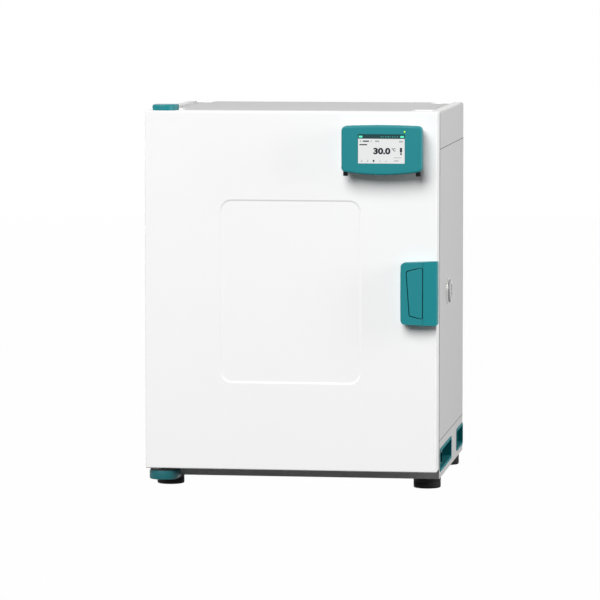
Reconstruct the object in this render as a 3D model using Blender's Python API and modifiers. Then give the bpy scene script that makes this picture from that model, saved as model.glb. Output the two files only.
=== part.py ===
"""Bench-top microbiological incubator, modelled from its separate pieces in metres.

X runs to the right as one faces the door, Y runs to the back and Z up. The origin is on the
bench under the middle of the whole. Every plane that two pieces share is worked out once from
the driving sizes below, and each piece then keeps a named clearance to its neighbour.
"""

import math

import bmesh
import bpy
from mathutils import Matrix, Vector

# Driving sizes of the whole
DOOR_WIDTH = 0.660
DOOR_HEIGHT = 0.8075
DOOR_THICKNESS = 0.050
DOOR_GAP = 0.010
CABINET_DEPTH = 0.5455
FOOT_HEIGHT = 0.0284
BASE_DROP = 0.0215
DOOR_RISE = 0.0025
LOWER_SEAM_RISE = 0.064
UPPER_SEAM_DROP = 0.083
SHEET = 0.0015
GAP = 0.0003
SEAM = 0.0008
LEAST_FILLET = 0.001
ROUND = 24

# Chamber
SIDE_WALL = 0.080
FLOOR_WALL = 0.0555
CEILING_WALL = 0.0755
REAR_WALL = 0.071
PLENUM_DEPTH = 0.044
LINER_SHEET = 0.0012
CHAMBER_FILLET = 0.014

# Front frame, seals and inner glass door
FRAME_THICKNESS = 0.015
FRAME_RECESS = 0.012
RECESS_MARGIN = 0.035
RECESS_FILLET = 0.006
GASKET_WIDTH = 0.014
GASKET_MARGIN = 0.0025
GLASS_THICKNESS = 0.005
GLASS_LAP = 0.0075
GLASS_CORNER = 0.004
SEAL_WIDTH = 0.006
SEAL_DEPTH = 0.004
GLASS_AXIS_OUT = 0.012
GLASS_AXIS_DEPTH = 0.0015
KNUCKLE_RADIUS = 0.0040
GLASS_PIN_RADIUS = 0.0018
SHOE_LENGTH = 0.034
SHOE_HEIGHT = 0.020
SHOE_WALL = 0.0020
GLASS_BRACKET_HEIGHT = 0.012
GLASS_BRACKET_REACH = 0.016
GLASS_BRACKET_FILLET = 0.0008
KNOB_RADIUS = 0.009
KNOB_CHAMFER = 0.0015
KNOB_WAIST = 0.55
KNOB_FOOT = 0.7
KNOB_SCREW = 0.3
KNOB_HEIGHT = 0.009
KNOB_INSET = 0.030

# Feet and wall spacers
FOOT_RADIUS = 0.031
FOOT_CHAMFER = 0.003
FOOT_TOE = 0.0015
FOOT_TOE_HEIGHT = 0.004
FOOT_RIM = 0.008
FOOT_DISH = 0.003
FOOT_DISH_SLOPE = 0.002
FOOT_SIDES = 20
FOOT_INSET = 0.035
FOOT_FRONT_INSET = 0.076
FOOT_REAR_INSET = 0.0455
SPACER_DEPTH = 0.012
SPACER_RADIUS = 0.013
SPACER_TAPER = 0.7
SPACER_INSET = 0.090

# Carrying grips in the base
GRIP_HEIGHT = 0.052
GRIP_RISE = 0.0145
GRIP_DEPTH = 0.040
GRIP_WALL = 0.002
GRIP_FILLET = 0.009
GRIP_FLANGE = 0.004
GRIP_PROUD = 0.0015
FRONT_GRIP_LENGTH = 0.258
FRONT_GRIP_INSET = 0.010
REAR_GRIP_LENGTH = 0.146
REAR_GRIP_INSET = 0.0055

# Power switch in the front right grip
SWITCH_INSET = 0.084
BOSS_LENGTH = 0.074
BOSS_SUNK = 0.0075
BOSS_FILLET = 0.006
BEZEL_LENGTH = 0.046
BEZEL_HEIGHT = 0.030
BEZEL_THICKNESS = 0.0028
SWITCH_BODY_MARGIN = 0.0022
SWITCH_BODY_DEPTH = 0.018
SWITCH_WALL = 0.0018
ROCKER_MARGIN = 0.0011
ROCKER_CREST = 0.0075
ROCKER_DIP = 0.0050
ROCKER_BACK = 0.0030
ROCKER_TILT = 8.0
ROCKER_PIN_RADIUS = 0.0015

# Stacking seats and beads on the top cover
SEAT_MARGIN = 0.002
SEAT_DEPTH = 0.005
SEAT_FILLET = 0.012
COVER_FILLET = 0.0032
BEAD_WIDTH = 0.010
BEAD_RISE = 0.0012

# Door hinge
HINGE_INSET = 0.024
HINGE_DEPTH = 0.017
HINGE_PIN_RADIUS = 0.004
BUSH_RADIUS = 0.008
BUSH_LENGTH = 0.018
BUSH_FLANGE = 0.0022
BUSH_FLANGE_WIDTH = 0.003
BRACKET_THICKNESS = 0.003
COVER_RADIUS = 0.0265
COVER_INSET = 0.0395
LOWER_COVER_RADIUS = 0.0330
LOWER_COVER_INSET = 0.0367
COVER_DEPTH = 0.029
LOWER_COVER_DEPTH = 0.0345
COVER_HEIGHT = 0.0115
COVER_REACH = 0.014
LOWER_COVER_HEIGHT = 0.0235
COVER_WALL = 0.002
COVER_EDGE = 0.002
COVER_STEPS = 14

# Door skin
DOOR_FILLET = 0.003
SKIN = 0.0012
PANEL_HALF_WIDTH = 0.159
PANEL_LOW = 0.197
PANEL_HIGH = 0.609
PANEL_DEPTH = 0.0014
PANEL_SLOPE = 0.0022
PANEL_FILLET = 0.026
INNER_SHEET = 0.0015

# Handle, its insets measured from the door's free edge and its heights from the door's bottom
HANDLE_INSET = 0.0805
HANDLE_DRAFT = 0.001
HANDLE_ROOT_FILLET = 0.006
HANDLE_SHOULDER_FILLET = 0.020
HANDLE_TAIL_FILLET = 0.0012
HANDLE_LOW = 0.3323
HANDLE_HIGH = 0.4762
HANDLE_PROUD = 0.030
HANDLE_WRAP = 0.0029
HANDLE_WRAP_DEPTH = 0.010
HANDLE_SHOULDER_INSET = 0.028
HANDLE_FALL = 0.011
HANDLE_TAPER = 0.0035
HANDLE_FILLET = 0.008
HANDLE_EDGE = 0.0011
PADDLE_TOP_INSET = 0.0657
PADDLE_BOTTOM_INSET = 0.0583
PADDLE_EDGE_INSET = 0.0300
PADDLE_LOW_RIGHT = 0.3478
PADDLE_LOW_LEFT = 0.3555
PADDLE_HIGH_LEFT = 0.4528
PADDLE_HIGH_RIGHT = 0.4627
PADDLE_GAP = 0.0026
PADDLE_THICKNESS = 0.0045
PADDLE_FILLET = 0.004
POCKET_DEPTH = 0.0165
TRUNNION_RADIUS = 0.0022
TRUNNION_LENGTH = 0.0040
TRUNNION_EDGE = 0.0032

# Latch between door and cabinet
BOLT_INSET = 0.0165
BOLT_WIDTH = 0.006
BOLT_HEIGHT = 0.024
BOLT_PROUD = 0.0075
BOLT_ROOT = 0.009
BOLT_TRAVEL = 0.004
BOLT_FILLET = 0.001
KEEPER_CLEAR = 0.0015
KEEPER_THICKNESS = 0.002
KEEPER_HEIGHT = 0.040
KEEPER_WIDTH = 0.009
KEEPER_DEPTH = 0.0075

# Controller housing, its insets measured from the door's free edge and its drop from the top
POD_WIDTH = 0.1796
POD_INSET = 0.0304
POD_DROP = 0.0300
POD_HEIGHT = 0.1025
POD_CROWN_LOW = 0.0085
POD_CROWN_HIGH = 0.0025
POD_DEPTH = 0.045
POD_BACK_DEPTH = 0.014
POD_FILLET = 0.0105
POD_WALL = 0.0025
POD_EDGE = 0.004
POD_CROWN_RADIUS = 0.5
POD_RIM_DEPTH = 0.005
SCREEN_INSET = 0.0378
SCREEN_WIDTH = 0.1040
SCREEN_RISE = 0.0199
SCREEN_HEIGHT = 0.0641
SCREEN_THICKNESS = 0.0024
SCREEN_FILLET = 0.0015
SCREEN_SUNK = 0.0006
LED_INSET = 0.0380
LED_RISE = 0.0905
LED_RADIUS = 0.0019
LED_LENGTH = 0.012
LED_DOME = 0.0006
BUMPER_RADIUS = 0.0055
BUMPER_HEIGHT = 0.0065
BUMPER_INSET = 0.0086
BUMPER_DEPTH = 0.012
BUMPER_CHAMFER = 0.001
BOARD_THICKNESS = 0.0016
BOARD_MARGIN = 0.010
PANEL_STACK = 0.007

# Cable port through the right wall
PORT_BEHIND_FRONT = 0.183
PORT_RISE = 0.389
PORT_RADIUS = 0.021
PORT_SLEEVE = 0.0025
PORT_FLANGE_RADIUS = 0.030
PORT_FLANGE = 0.003
PLUG_CAP_RADIUS = 0.0265
PLUG_CAP = 0.005
PLUG_STEM = 0.022
PLUG_GRIP_RADIUS = 0.016
PLUG_GRIP_DEPTH = 0.0025
PLUG_CHAMFER = 0.001
PLUG_CAP_CHAMFER = 0.0015

# Air circulation in the plenum
FAN_RISE = 0.440
FAN_RADIUS = 0.070
FAN_WIDTH = 0.022
FAN_BLADES = 9
FAN_HUB_RADIUS = 0.012
FAN_INLET_RADIUS = 0.038
BLADE_THICKNESS = 0.0016
BLADE_SWEEP = 48.0
BLADE_OVERLAP = 0.004
BLADE_STEPS = 5
HUB_PROUD = 0.002
SHAFT_RADIUS = 0.004
SHAFT_BEHIND_BAFFLE = 0.010
MOTOR_RADIUS = 0.038
MOTOR_LENGTH = 0.052
MOTOR_FLANGE_RADIUS = 0.046
MOTOR_FLANGE = 0.003
HEATER_RADIUS = 0.092
HEATER_TUBE = 0.0035
HEATER_OPENING = 36.0
HEATER_STEPS = 20
BAFFLE_SHEET = 0.0012
BAFFLE_SLOT_WIDTH = 0.006
BAFFLE_SLOT_LENGTH = 0.080
BAFFLE_SLOTS = 5
BAFFLE_SLOT_RISE = 0.030
BAFFLE_SLOT_START = 0.040
BAFFLE_SLOT_INSET = 0.020
GRILLE_BARS = 3
PROBE_RADIUS = 0.0025
PROBE_LENGTH = 0.045
PROBE_COLLAR = 0.006
PROBE_TIP = 0.001
PROBE_X = 0.150
PROBE_DROP = 0.120

# Air vent through the rear wall
VENT_X = -0.130
VENT_DROP = 0.060
VENT_RADIUS = 0.013
VENT_TUBE = 0.0015
VENT_FLANGE_RADIUS = 0.026
VENT_FLANGE = 0.003
DAMPER_THICKNESS = 0.003
DAMPER_HOLE_RADIUS = 0.0036
DAMPER_HOLE_CIRCLE = 0.0075
DAMPER_PIN_RADIUS = 0.0016
DAMPER_KNOB_HEIGHT = 0.004
DAMPER_KNOB_WIDTH = 0.0024

# Shelves and their rails
RAIL_SHEET = 0.004
RAIL_POST = 0.015
RAIL_FRONT_INSET = 0.060
RAIL_REAR_INSET = 0.045
LEDGE_DEPTH = 0.012
LEDGE_THICKNESS = 0.002
LEDGE_RISE = 0.080
LEDGES = 6
LEDGE_START = 0.075
SHELF_CLEAR = 0.0015
SHELF_ROD = 0.0032
SHELF_WIRE = 0.0014
SHELF_BAR = 0.0012
SHELF_WIRES = 11
SHELF_FRONT_REACH = 0.020
SHELF_REAR_REACH = 0.015
SHELF_CORNER = 0.012
SHELF_LEVELS = {"shelf_lower": 1, "shelf_upper": 4}

# Base electronics and mains inlet
SUPPLY_LENGTH = 0.160
SUPPLY_WIDTH = 0.097
SUPPLY_HEIGHT = 0.036
INLET_INSET = 0.115
INLET_RISE = 0.040
INLET_WIDTH = 0.048
INLET_HEIGHT = 0.028
INLET_FLANGE = 0.0025
INLET_BODY_MARGIN = 0.006
INLET_BODY_DEPTH = 0.022
INLET_WALL = 0.0025
INLET_SOCKET_DEPTH = 0.017
INLET_PIN_LENGTH = 0.010
INLET_BLADE_HALF = (0.001, 0.002)
INLET_BLADES = ((-0.007, -0.001), (0.0, 0.003), (0.007, -0.001))
SUPPLY_FILLET = 0.0015
BASE_LIP = 0.022

# Planes worked out from the driving sizes
CABINET_HALF = DOOR_WIDTH / 2
OVERALL_DEPTH = POD_DEPTH + DOOR_THICKNESS + DOOR_GAP + CABINET_DEPTH + SPACER_DEPTH
DOOR_FRONT = POD_DEPTH - OVERALL_DEPTH / 2
DOOR_BACK = DOOR_FRONT + DOOR_THICKNESS
CABINET_FRONT = DOOR_BACK + DOOR_GAP
CABINET_BACK = CABINET_FRONT + CABINET_DEPTH
BASE_BOTTOM = FOOT_HEIGHT
DOOR_BOTTOM = BASE_BOTTOM + BASE_DROP
DOOR_TOP = DOOR_BOTTOM + DOOR_HEIGHT
CABINET_TOP = DOOR_TOP - DOOR_RISE
LOWER_SEAM = DOOR_BOTTOM + LOWER_SEAM_RISE
UPPER_SEAM = CABINET_TOP - UPPER_SEAM_DROP
CHAMBER_HALF = CABINET_HALF - SIDE_WALL
CHAMBER_FLOOR = LOWER_SEAM + FLOOR_WALL
CHAMBER_CEILING = CABINET_TOP - CEILING_WALL
CHAMBER_REAR = CABINET_BACK - REAR_WALL
BAFFLE_FRONT = CHAMBER_REAR - PLENUM_DEPTH
INNER_HALF = CABINET_HALF - SHEET - GAP
LINER_FRONT = CABINET_FRONT + FRAME_THICKNESS + GAP
RECESS_FLOOR = CABINET_FRONT + FRAME_RECESS
GLASS_BACK = RECESS_FLOOR - SEAL_DEPTH - GAP
GLASS_FRONT = GLASS_BACK - GLASS_THICKNESS
GLASS_AXIS_X = -CHAMBER_HALF - GLASS_AXIS_OUT
GLASS_AXIS_Y = GLASS_FRONT - GLASS_AXIS_DEPTH
INLET_X = CABINET_HALF - INLET_INSET
HINGE_X = -CABINET_HALF + HINGE_INSET
HINGE_Y = DOOR_FRONT + HINGE_DEPTH
LATCH_Z = DOOR_BOTTOM + (HANDLE_LOW + HANDLE_HIGH) / 2
HANDLE_LEFT = CABINET_HALF - HANDLE_INSET
PADDLE_RIGHT = CABINET_HALF - PADDLE_EDGE_INSET
POD_RIGHT = CABINET_HALF - POD_INSET
POD_HIGH = DOOR_TOP - POD_DROP
POD_LOW = POD_HIGH - POD_HEIGHT
POD_LEFT = POD_RIGHT - POD_WIDTH
SCREEN_LEFT = POD_LEFT + SCREEN_INSET
LED_X = POD_RIGHT - LED_INSET
FOOT_ROWS = {
    "front": CABINET_FRONT + FOOT_FRONT_INSET,
    "rear": CABINET_BACK - FOOT_REAR_INSET,
}
SIDES = {"left": -1, "right": 1}
GRIP_ROWS = {
    "front": (CABINET_FRONT + FRONT_GRIP_INSET, FRONT_GRIP_LENGTH),
    "rear": (CABINET_BACK - REAR_GRIP_INSET - REAR_GRIP_LENGTH, REAR_GRIP_LENGTH),
}
GRIP_BOTTOM = BASE_BOTTOM + GRIP_RISE
SWITCH_Y = CABINET_FRONT + SWITCH_INSET
SWITCH_Z = GRIP_BOTTOM + GRIP_HEIGHT / 2
BOSS_FACE = CABINET_HALF - BOSS_SUNK
BEZEL_FACE = BOSS_FACE + GAP + BEZEL_THICKNESS
PORT_Y = CABINET_FRONT + PORT_BEHIND_FRONT
PORT_Z = DOOR_BOTTOM + PORT_RISE
FAN_Z = DOOR_BOTTOM + FAN_RISE
VENT_Z = CHAMBER_CEILING - VENT_DROP
SHAFT_FRONT = BAFFLE_FRONT + BAFFLE_SHEET + SHAFT_BEHIND_BAFFLE
BRACKET_BOTTOM = DOOR_TOP + 2 * GAP
LOWER_BRACKET_TOP = DOOR_BOTTOM - BUSH_FLANGE - 3 * GAP

# A solid's outline axes as world axes, for a slab that faces along each world axis
FACING = {
    "X": Matrix(((0, 0, 1), (1, 0, 0), (0, 1, 0))),
    "Y": Matrix(((1, 0, 0), (0, 0, -1), (0, 1, 0))),
    "Z": Matrix.Identity(3),
}


def clear_scene():
    """Removes what the startup scene holds."""
    for obj in list(bpy.data.objects):
        bpy.data.objects.remove(obj, do_unlink=True)


def new_collection(name):
    """A collection linked into the scene."""
    holder = bpy.data.collections.new(name)
    bpy.context.scene.collection.children.link(holder)
    return holder


def paint(name, color, roughness, metallic=0.0):
    """A plain Principled material in the piece's own colour."""
    material = bpy.data.materials.new(name)
    material.use_nodes = True
    shader = material.node_tree.nodes["Principled BSDF"]
    shader.inputs["Base Color"].default_value = (*color, 1.0)
    shader.inputs["Roughness"].default_value = roughness
    shader.inputs["Metallic"].default_value = metallic
    return material


def as_helper(obj):
    """Puts a new object among the cutters, hidden from the render."""
    CUTTERS.objects.link(obj)
    obj.hide_render = True
    obj.display_type = "WIRE"
    return obj


def as_part(obj, name, material, parent=None):
    """Makes a helper one of the visible parts, carried by an empty if one is given."""
    CUTTERS.objects.unlink(obj)
    PARTS.objects.link(obj)
    obj.name = name
    obj.hide_render = False
    obj.display_type = "SOLID"
    obj.data.materials.append(material)
    obj.data.shade_smooth()
    obj.data.set_sharp_from_angle(angle=math.radians(35))
    if parent is not None:
        obj.location = Vector(obj.location) - Vector(parent.location)
        obj.parent = parent
    return obj


def pivot(name, place):
    """An empty at a joint's axis, which carries the pieces that move about it."""
    empty = bpy.data.objects.new(name, None)
    empty.empty_display_size = 0.03
    empty.location = place
    PARTS.objects.link(empty)
    return empty


def from_bmesh(bm, place, facing="Z"):
    """An object with this mesh, standing at a place and turned to face an axis."""
    mesh = bpy.data.meshes.new("solid")
    bm.to_mesh(mesh)
    bm.free()
    obj = bpy.data.objects.new("solid", mesh)
    obj.rotation_euler = FACING[facing].to_euler()
    obj.location = place
    return as_helper(obj)


def block(x_span, y_span, z_span):
    """A box between two limits on each axis."""
    low = Vector((x_span[0], y_span[0], z_span[0]))
    high = Vector((x_span[1], y_span[1], z_span[1]))
    bm = bmesh.new()
    bmesh.ops.create_cube(bm, size=1.0)
    bmesh.ops.scale(bm, vec=high - low, verts=bm.verts)
    return from_bmesh(bm, (low + high) / 2)


def cylinder(radius, axis, span, at, sides=ROUND, end_radius=None):
    """A round bar or cone along an axis; at gives its other two coordinates in X, Y, Z order."""
    bm = bmesh.new()
    far = radius if end_radius is None else end_radius
    flip = axis == "Y"
    bmesh.ops.create_cone(
        bm,
        cap_ends=True,
        segments=sides,
        radius1=far if flip else radius,
        radius2=radius if flip else far,
        depth=span[1] - span[0],
    )
    middle = (span[0] + span[1]) / 2
    place = list(at)
    place.insert("XYZ".index(axis), middle)
    return from_bmesh(bm, place, axis)


def filleted(corners, steps=5):
    """The outline of a polygon with corners (u, v, radius), each rounded by its radius."""
    points = []
    for index, (u, v, radius) in enumerate(corners):
        here = Vector((u, v))
        if radius == 0:
            points.append(here)
            continue
        back = (Vector(corners[index - 1][:2]) - here).normalized()
        ahead = (Vector(corners[(index + 1) % len(corners)][:2]) - here).normalized()
        half = back.angle(ahead) / 2
        centre = here + (back + ahead).normalized() * radius / math.sin(half)
        start = here + back * radius / math.tan(half) - centre
        end = here + ahead * radius / math.tan(half) - centre
        turn = math.copysign(start.angle(end), start.x * end.y - start.y * end.x)
        for step in range(steps + 1):
            angle = turn * step / steps
            across = Vector((-start.y, start.x))
            points.append(centre + start * math.cos(angle) + across * math.sin(angle))
    return points


def rectangle(u_span, v_span, radius=0.0, steps=5):
    """A rectangular outline with equal fillets."""
    corners = [
        (u_span[0], v_span[0], radius),
        (u_span[1], v_span[0], radius),
        (u_span[1], v_span[1], radius),
        (u_span[0], v_span[1], radius),
    ]
    return filleted(corners, steps)


def slab(outline, facing, span):
    """A flat outline given thickness along an axis, between two limits on it."""
    curve = bpy.data.curves.new("outline", "CURVE")
    curve.dimensions = "2D"
    curve.fill_mode = "BOTH"
    curve.extrude = (span[1] - span[0]) / 2
    spline = curve.splines.new("POLY")
    spline.points.add(len(outline) - 1)
    for point, (u, v) in zip(spline.points, outline):
        point.co = (u, v, 0.0, 1.0)
    spline.use_cyclic_u = True
    place = Vector((0.0, 0.0, 0.0))
    place["XYZ".index(facing)] = (span[0] + span[1]) / 2
    guide = bpy.data.objects.new("outline", curve)
    guide.rotation_euler = FACING[facing].to_euler()
    guide.location = place
    return meshed(guide)


def wire(points, radius, cyclic=False):
    """A round wire through points, as a closed mesh."""
    curve = bpy.data.curves.new("wire", "CURVE")
    curve.dimensions = "3D"
    curve.bevel_depth = radius
    curve.bevel_resolution = 2
    curve.use_fill_caps = True
    spline = curve.splines.new("POLY")
    spline.points.add(len(points) - 1)
    for point, place in zip(spline.points, points):
        point.co = (*place, 1.0)
    spline.use_cyclic_u = cyclic
    return meshed(bpy.data.objects.new("wire", curve))


def meshed(guide):
    """The solid that a curve object makes, with its caps welded."""
    as_helper(guide)
    bpy.context.view_layer.update()
    evaluated = guide.evaluated_get(bpy.context.evaluated_depsgraph_get())
    mesh = bpy.data.meshes.new_from_object(evaluated)
    bm = bmesh.new()
    bm.from_mesh(mesh)
    bmesh.ops.remove_doubles(bm, verts=bm.verts, dist=0.00001)
    bmesh.ops.recalc_face_normals(bm, faces=bm.faces)
    bm.to_mesh(mesh)
    bm.free()
    obj = bpy.data.objects.new("solid", mesh)
    obj.matrix_world = guide.matrix_world
    bpy.data.objects.remove(guide)
    return as_helper(obj)


def turned(profile, facing, place, steps=ROUND):
    """A solid of revolution from (radius, height) points, listed from its top to its bottom."""
    bm = bmesh.new()
    verts = [bm.verts.new((radius, 0.0, height)) for radius, height in profile]
    for first, second in zip(verts, verts[1:]):
        bm.edges.new((first, second))
    obj = from_bmesh(bm, place, facing)
    screw = obj.modifiers.new("Turn", "SCREW")
    screw.steps = steps
    screw.render_steps = steps
    screw.use_merge_vertices = True
    screw.merge_threshold = 0.00001
    return obj


def boolean(obj, other, operation):
    """Combines an object with another one and leaves the other hidden."""
    modifier = obj.modifiers.new(operation.title(), "BOOLEAN")
    modifier.operation = operation
    modifier.object = other
    modifier.solver = "EXACT"
    return obj


def cut(obj, *cutters):
    """Removes the cutters' shapes from an object."""
    for cutter in cutters:
        boolean(obj, cutter, "DIFFERENCE")
    return obj


def join(obj, *others):
    """Unites an object with others that it overlaps."""
    for other in others:
        boolean(obj, other, "UNION")
    return obj


def round_edges(obj, width, segments=2, angle=40.0):
    """Rounds the edges sharper than an angle."""
    bevel = obj.modifiers.new("Round", "BEVEL")
    bevel.width = width
    bevel.segments = segments
    bevel.limit_method = "ANGLE"
    bevel.angle_limit = math.radians(angle)
    return obj


def flattened(obj):
    """Turns the object's modifiers into its mesh, so that others can share or cut with it."""
    bpy.context.view_layer.update()
    evaluated = obj.evaluated_get(bpy.context.evaluated_depsgraph_get())
    mesh = bpy.data.meshes.new_from_object(evaluated)
    obj.modifiers.clear()
    obj.data = mesh
    return obj


def between(low, high, inset=0.0):
    """A span drawn in by an inset at both ends."""
    return (low + inset, high - inset)


def half_span(half, inset=0.0):
    """A span centred on zero."""
    return (-half + inset, half - inset)


def grip_outline(row, inset):
    """A carrying grip's outline on the side of the base, drawn in by an inset."""
    start, length = GRIP_ROWS[row]
    y_span = between(start, start + length, inset)
    z_span = between(GRIP_BOTTOM, GRIP_BOTTOM + GRIP_HEIGHT, inset)
    return rectangle(y_span, z_span, max(GRIP_FILLET - inset, LEAST_FILLET), 3)


def side_span(side, inner, outer):
    """Limits along X at a distance from the middle plane, on the left or the right."""
    ends = (side * inner, side * outer)
    return (min(ends), max(ends))


def build_base():
    """The folded base tray, its electronics and its mains inlet."""
    y_span = (CABINET_FRONT, CABINET_BACK)
    tray = block(half_span(CABINET_HALF), y_span, (BASE_BOTTOM, LOWER_SEAM - SEAM / 2))
    hollow = block(
        half_span(CABINET_HALF, SHEET),
        between(*y_span, SHEET),
        (BASE_BOTTOM + SHEET, LOWER_SEAM - SEAM / 2 - SHEET),
    )
    mouth = block(
        half_span(CABINET_HALF, BASE_LIP),
        between(*y_span, BASE_LIP),
        (LOWER_SEAM - 2 * SHEET - SEAM, LOWER_SEAM + SHEET),
    )
    cut(tray, join(hollow, mouth))
    for row in GRIP_ROWS:
        for side in SIDES.values():
            opening = grip_outline(row, GRIP_FLANGE - GAP)
            span = side_span(side, CABINET_HALF - 3 * SHEET, CABINET_HALF + SHEET)
            cut(tray, slab(opening, "X", span))
    cut(tray, inlet_block(INLET_BODY_MARGIN - GAP, CABINET_BACK - 3 * SHEET, CABINET_BACK + SHEET))
    as_part(tray, "base_pan", STEEL_PAINT)

    supply = block(
        half_span(SUPPLY_LENGTH / 2),
        (-SUPPLY_WIDTH / 2, SUPPLY_WIDTH / 2),
        (BASE_BOTTOM + SHEET + GAP, BASE_BOTTOM + SHEET + GAP + SUPPLY_HEIGHT),
    )
    round_edges(supply, SUPPLY_FILLET, 1)
    as_part(supply, "power_supply", ZINC)
    build_inlet()


def inlet_block(margin, front, back):
    """A block behind the mains inlet's face, drawn in from its outline by a margin."""
    centre_z = BASE_BOTTOM + INLET_RISE
    return block(
        between(INLET_X - INLET_WIDTH / 2, INLET_X + INLET_WIDTH / 2, margin),
        (front, back),
        between(centre_z - INLET_HEIGHT / 2, centre_z + INLET_HEIGHT / 2, margin),
    )


def build_inlet():
    """The mains inlet: flange, body and a socket with three contact blades."""
    face = CABINET_BACK + GAP + INLET_FLANGE
    inlet = inlet_block(0.0, CABINET_BACK + GAP, face)
    floor = face - INLET_SOCKET_DEPTH
    body = inlet_block(INLET_BODY_MARGIN, CABINET_BACK - INLET_BODY_DEPTH, face - SHEET / 2)
    socket = inlet_block(INLET_BODY_MARGIN + INLET_WALL, floor, face + SHEET)
    join(inlet, body)
    cut(inlet, socket)
    centre_z = BASE_BOTTOM + INLET_RISE
    half_width, half_height = INLET_BLADE_HALF
    for offset, rise in INLET_BLADES:
        blade = block(
            (INLET_X + offset - half_width, INLET_X + offset + half_width),
            (floor - SHEET, floor + INLET_PIN_LENGTH),
            (centre_z + rise - half_height, centre_z + rise + half_height),
        )
        join(inlet, blade)
    as_part(inlet, "mains_inlet", BLACK_PLASTIC)


def build_feet():
    """Four rubber feet under the base, turned with a recessed foot pad."""
    profile = [
        (0.0, FOOT_HEIGHT - GAP),
        (FOOT_RADIUS - FOOT_CHAMFER, FOOT_HEIGHT - GAP),
        (FOOT_RADIUS, FOOT_HEIGHT - FOOT_CHAMFER),
        (FOOT_RADIUS, FOOT_TOE_HEIGHT),
        (FOOT_RADIUS - FOOT_TOE, 0.0),
        (FOOT_RADIUS - FOOT_RIM - FOOT_TOE, 0.0),
        (FOOT_RADIUS - FOOT_RIM - FOOT_DISH_SLOPE, FOOT_DISH),
        (0.0, FOOT_DISH),
    ]
    for row, y in FOOT_ROWS.items():
        for label, side in SIDES.items():
            foot = turned(profile, "Z", (side * (CABINET_HALF - FOOT_INSET), y, 0.0), FOOT_SIDES)
            as_part(foot, f"foot_{row}_{label}", RUBBER)


def build_grips():
    """Recessed carrying grips let into the sides of the base, one of them with the switch."""
    for row in GRIP_ROWS:
        for label, side in SIDES.items():
            face = CABINET_HALF + GAP + GRIP_PROUD
            grip = slab(grip_outline(row, 0.0), "X", side_span(side, CABINET_HALF + GAP, face))
            cup = slab(
                grip_outline(row, GRIP_FLANGE),
                "X",
                side_span(side, CABINET_HALF - GRIP_DEPTH, face - GRIP_PROUD / 2),
            )
            hollow = slab(
                grip_outline(row, GRIP_FLANGE + GRIP_WALL),
                "X",
                side_span(side, CABINET_HALF - GRIP_DEPTH + GRIP_WALL, face + GRIP_PROUD),
            )
            join(grip, cup)
            cut(grip, hollow)
            if row == "front" and label == "right":
                add_switch_boss(grip)
            as_part(grip, f"grip_{row}_{label}", TEAL)


def add_switch_boss(grip):
    """Fills part of the grip with a boss that holds the power switch."""
    outline = grip_outline("front", GRIP_FLANGE + GRIP_WALL / 2)
    low = min(point[1] for point in outline)
    high = max(point[1] for point in outline)
    back = CABINET_HALF - GRIP_DEPTH + GRIP_WALL / 2
    boss = rectangle((SWITCH_Y - BOSS_LENGTH / 2, SWITCH_Y + BOSS_LENGTH / 2), (low, high), BOSS_FILLET)
    join(grip, slab(boss, "X", (back, BOSS_FACE)))
    cut(grip, switch_block(SWITCH_BODY_MARGIN - GAP, BOSS_FACE - SWITCH_BODY_DEPTH - GAP, BOSS_FACE + SHEET))


def switch_block(margin, back, front):
    """A block behind the switch's face, drawn in from its bezel by a margin."""
    return block(
        (back, front),
        between(SWITCH_Y - BEZEL_LENGTH / 2, SWITCH_Y + BEZEL_LENGTH / 2, margin),
        between(SWITCH_Z - BEZEL_HEIGHT / 2, SWITCH_Z + BEZEL_HEIGHT / 2, margin),
    )


def build_switch():
    """The power switch: a fixed bezel body and a rocker on its own pins."""
    housing = switch_block(0.0, BOSS_FACE + GAP, BEZEL_FACE)
    body = switch_block(SWITCH_BODY_MARGIN, BOSS_FACE - SWITCH_BODY_DEPTH, BEZEL_FACE - SHEET)
    inner = SWITCH_BODY_MARGIN + SWITCH_WALL
    floor = BOSS_FACE - SWITCH_BODY_DEPTH + SWITCH_WALL
    join(housing, body)
    cut(housing, switch_block(inner, floor, BEZEL_FACE + SHEET))
    axis_x = BEZEL_FACE - BEZEL_THICKNESS - ROCKER_BACK
    half_height = BEZEL_HEIGHT / 2 - inner
    pin_reach = half_height + SWITCH_WALL * 0.6
    sockets = cylinder(
        ROCKER_PIN_RADIUS + GAP,
        "Z",
        between(SWITCH_Z - pin_reach, SWITCH_Z + pin_reach, -GAP),
        (axis_x, SWITCH_Y),
        16,
    )
    cut(housing, sockets)
    as_part(housing, "switch_housing", BLACK_PLASTIC)

    half_length = BEZEL_LENGTH / 2 - inner - ROCKER_MARGIN
    height = between(-half_height, half_height, ROCKER_MARGIN / 2)
    outline = [
        (ROCKER_CREST, -half_length),
        (ROCKER_CREST, half_length),
        (-ROCKER_BACK, half_length * 0.85),
        (-ROCKER_BACK, -half_length * 0.85),
    ]
    rocker = slab(outline, "Z", height)
    sag = ROCKER_CREST - ROCKER_DIP
    dish_radius = (half_length**2 + sag**2) / (2 * sag)
    dish = cylinder(dish_radius, "Z", between(*height, -SHEET), (ROCKER_DIP + dish_radius, 0.0), 96)
    cut(rocker, dish)
    join(rocker, cylinder(ROCKER_PIN_RADIUS, "Z", (-pin_reach, pin_reach), (0.0, 0.0), 16))
    flattened(rocker)
    axis = pivot("rocker_axis", (axis_x, SWITCH_Y, SWITCH_Z))
    axis.rotation_euler = (0.0, 0.0, math.radians(ROCKER_TILT))
    as_part(rocker, "power_rocker", BLACK_PLASTIC)
    rocker.location = (0.0, 0.0, 0.0)
    rocker.parent = axis


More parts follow.
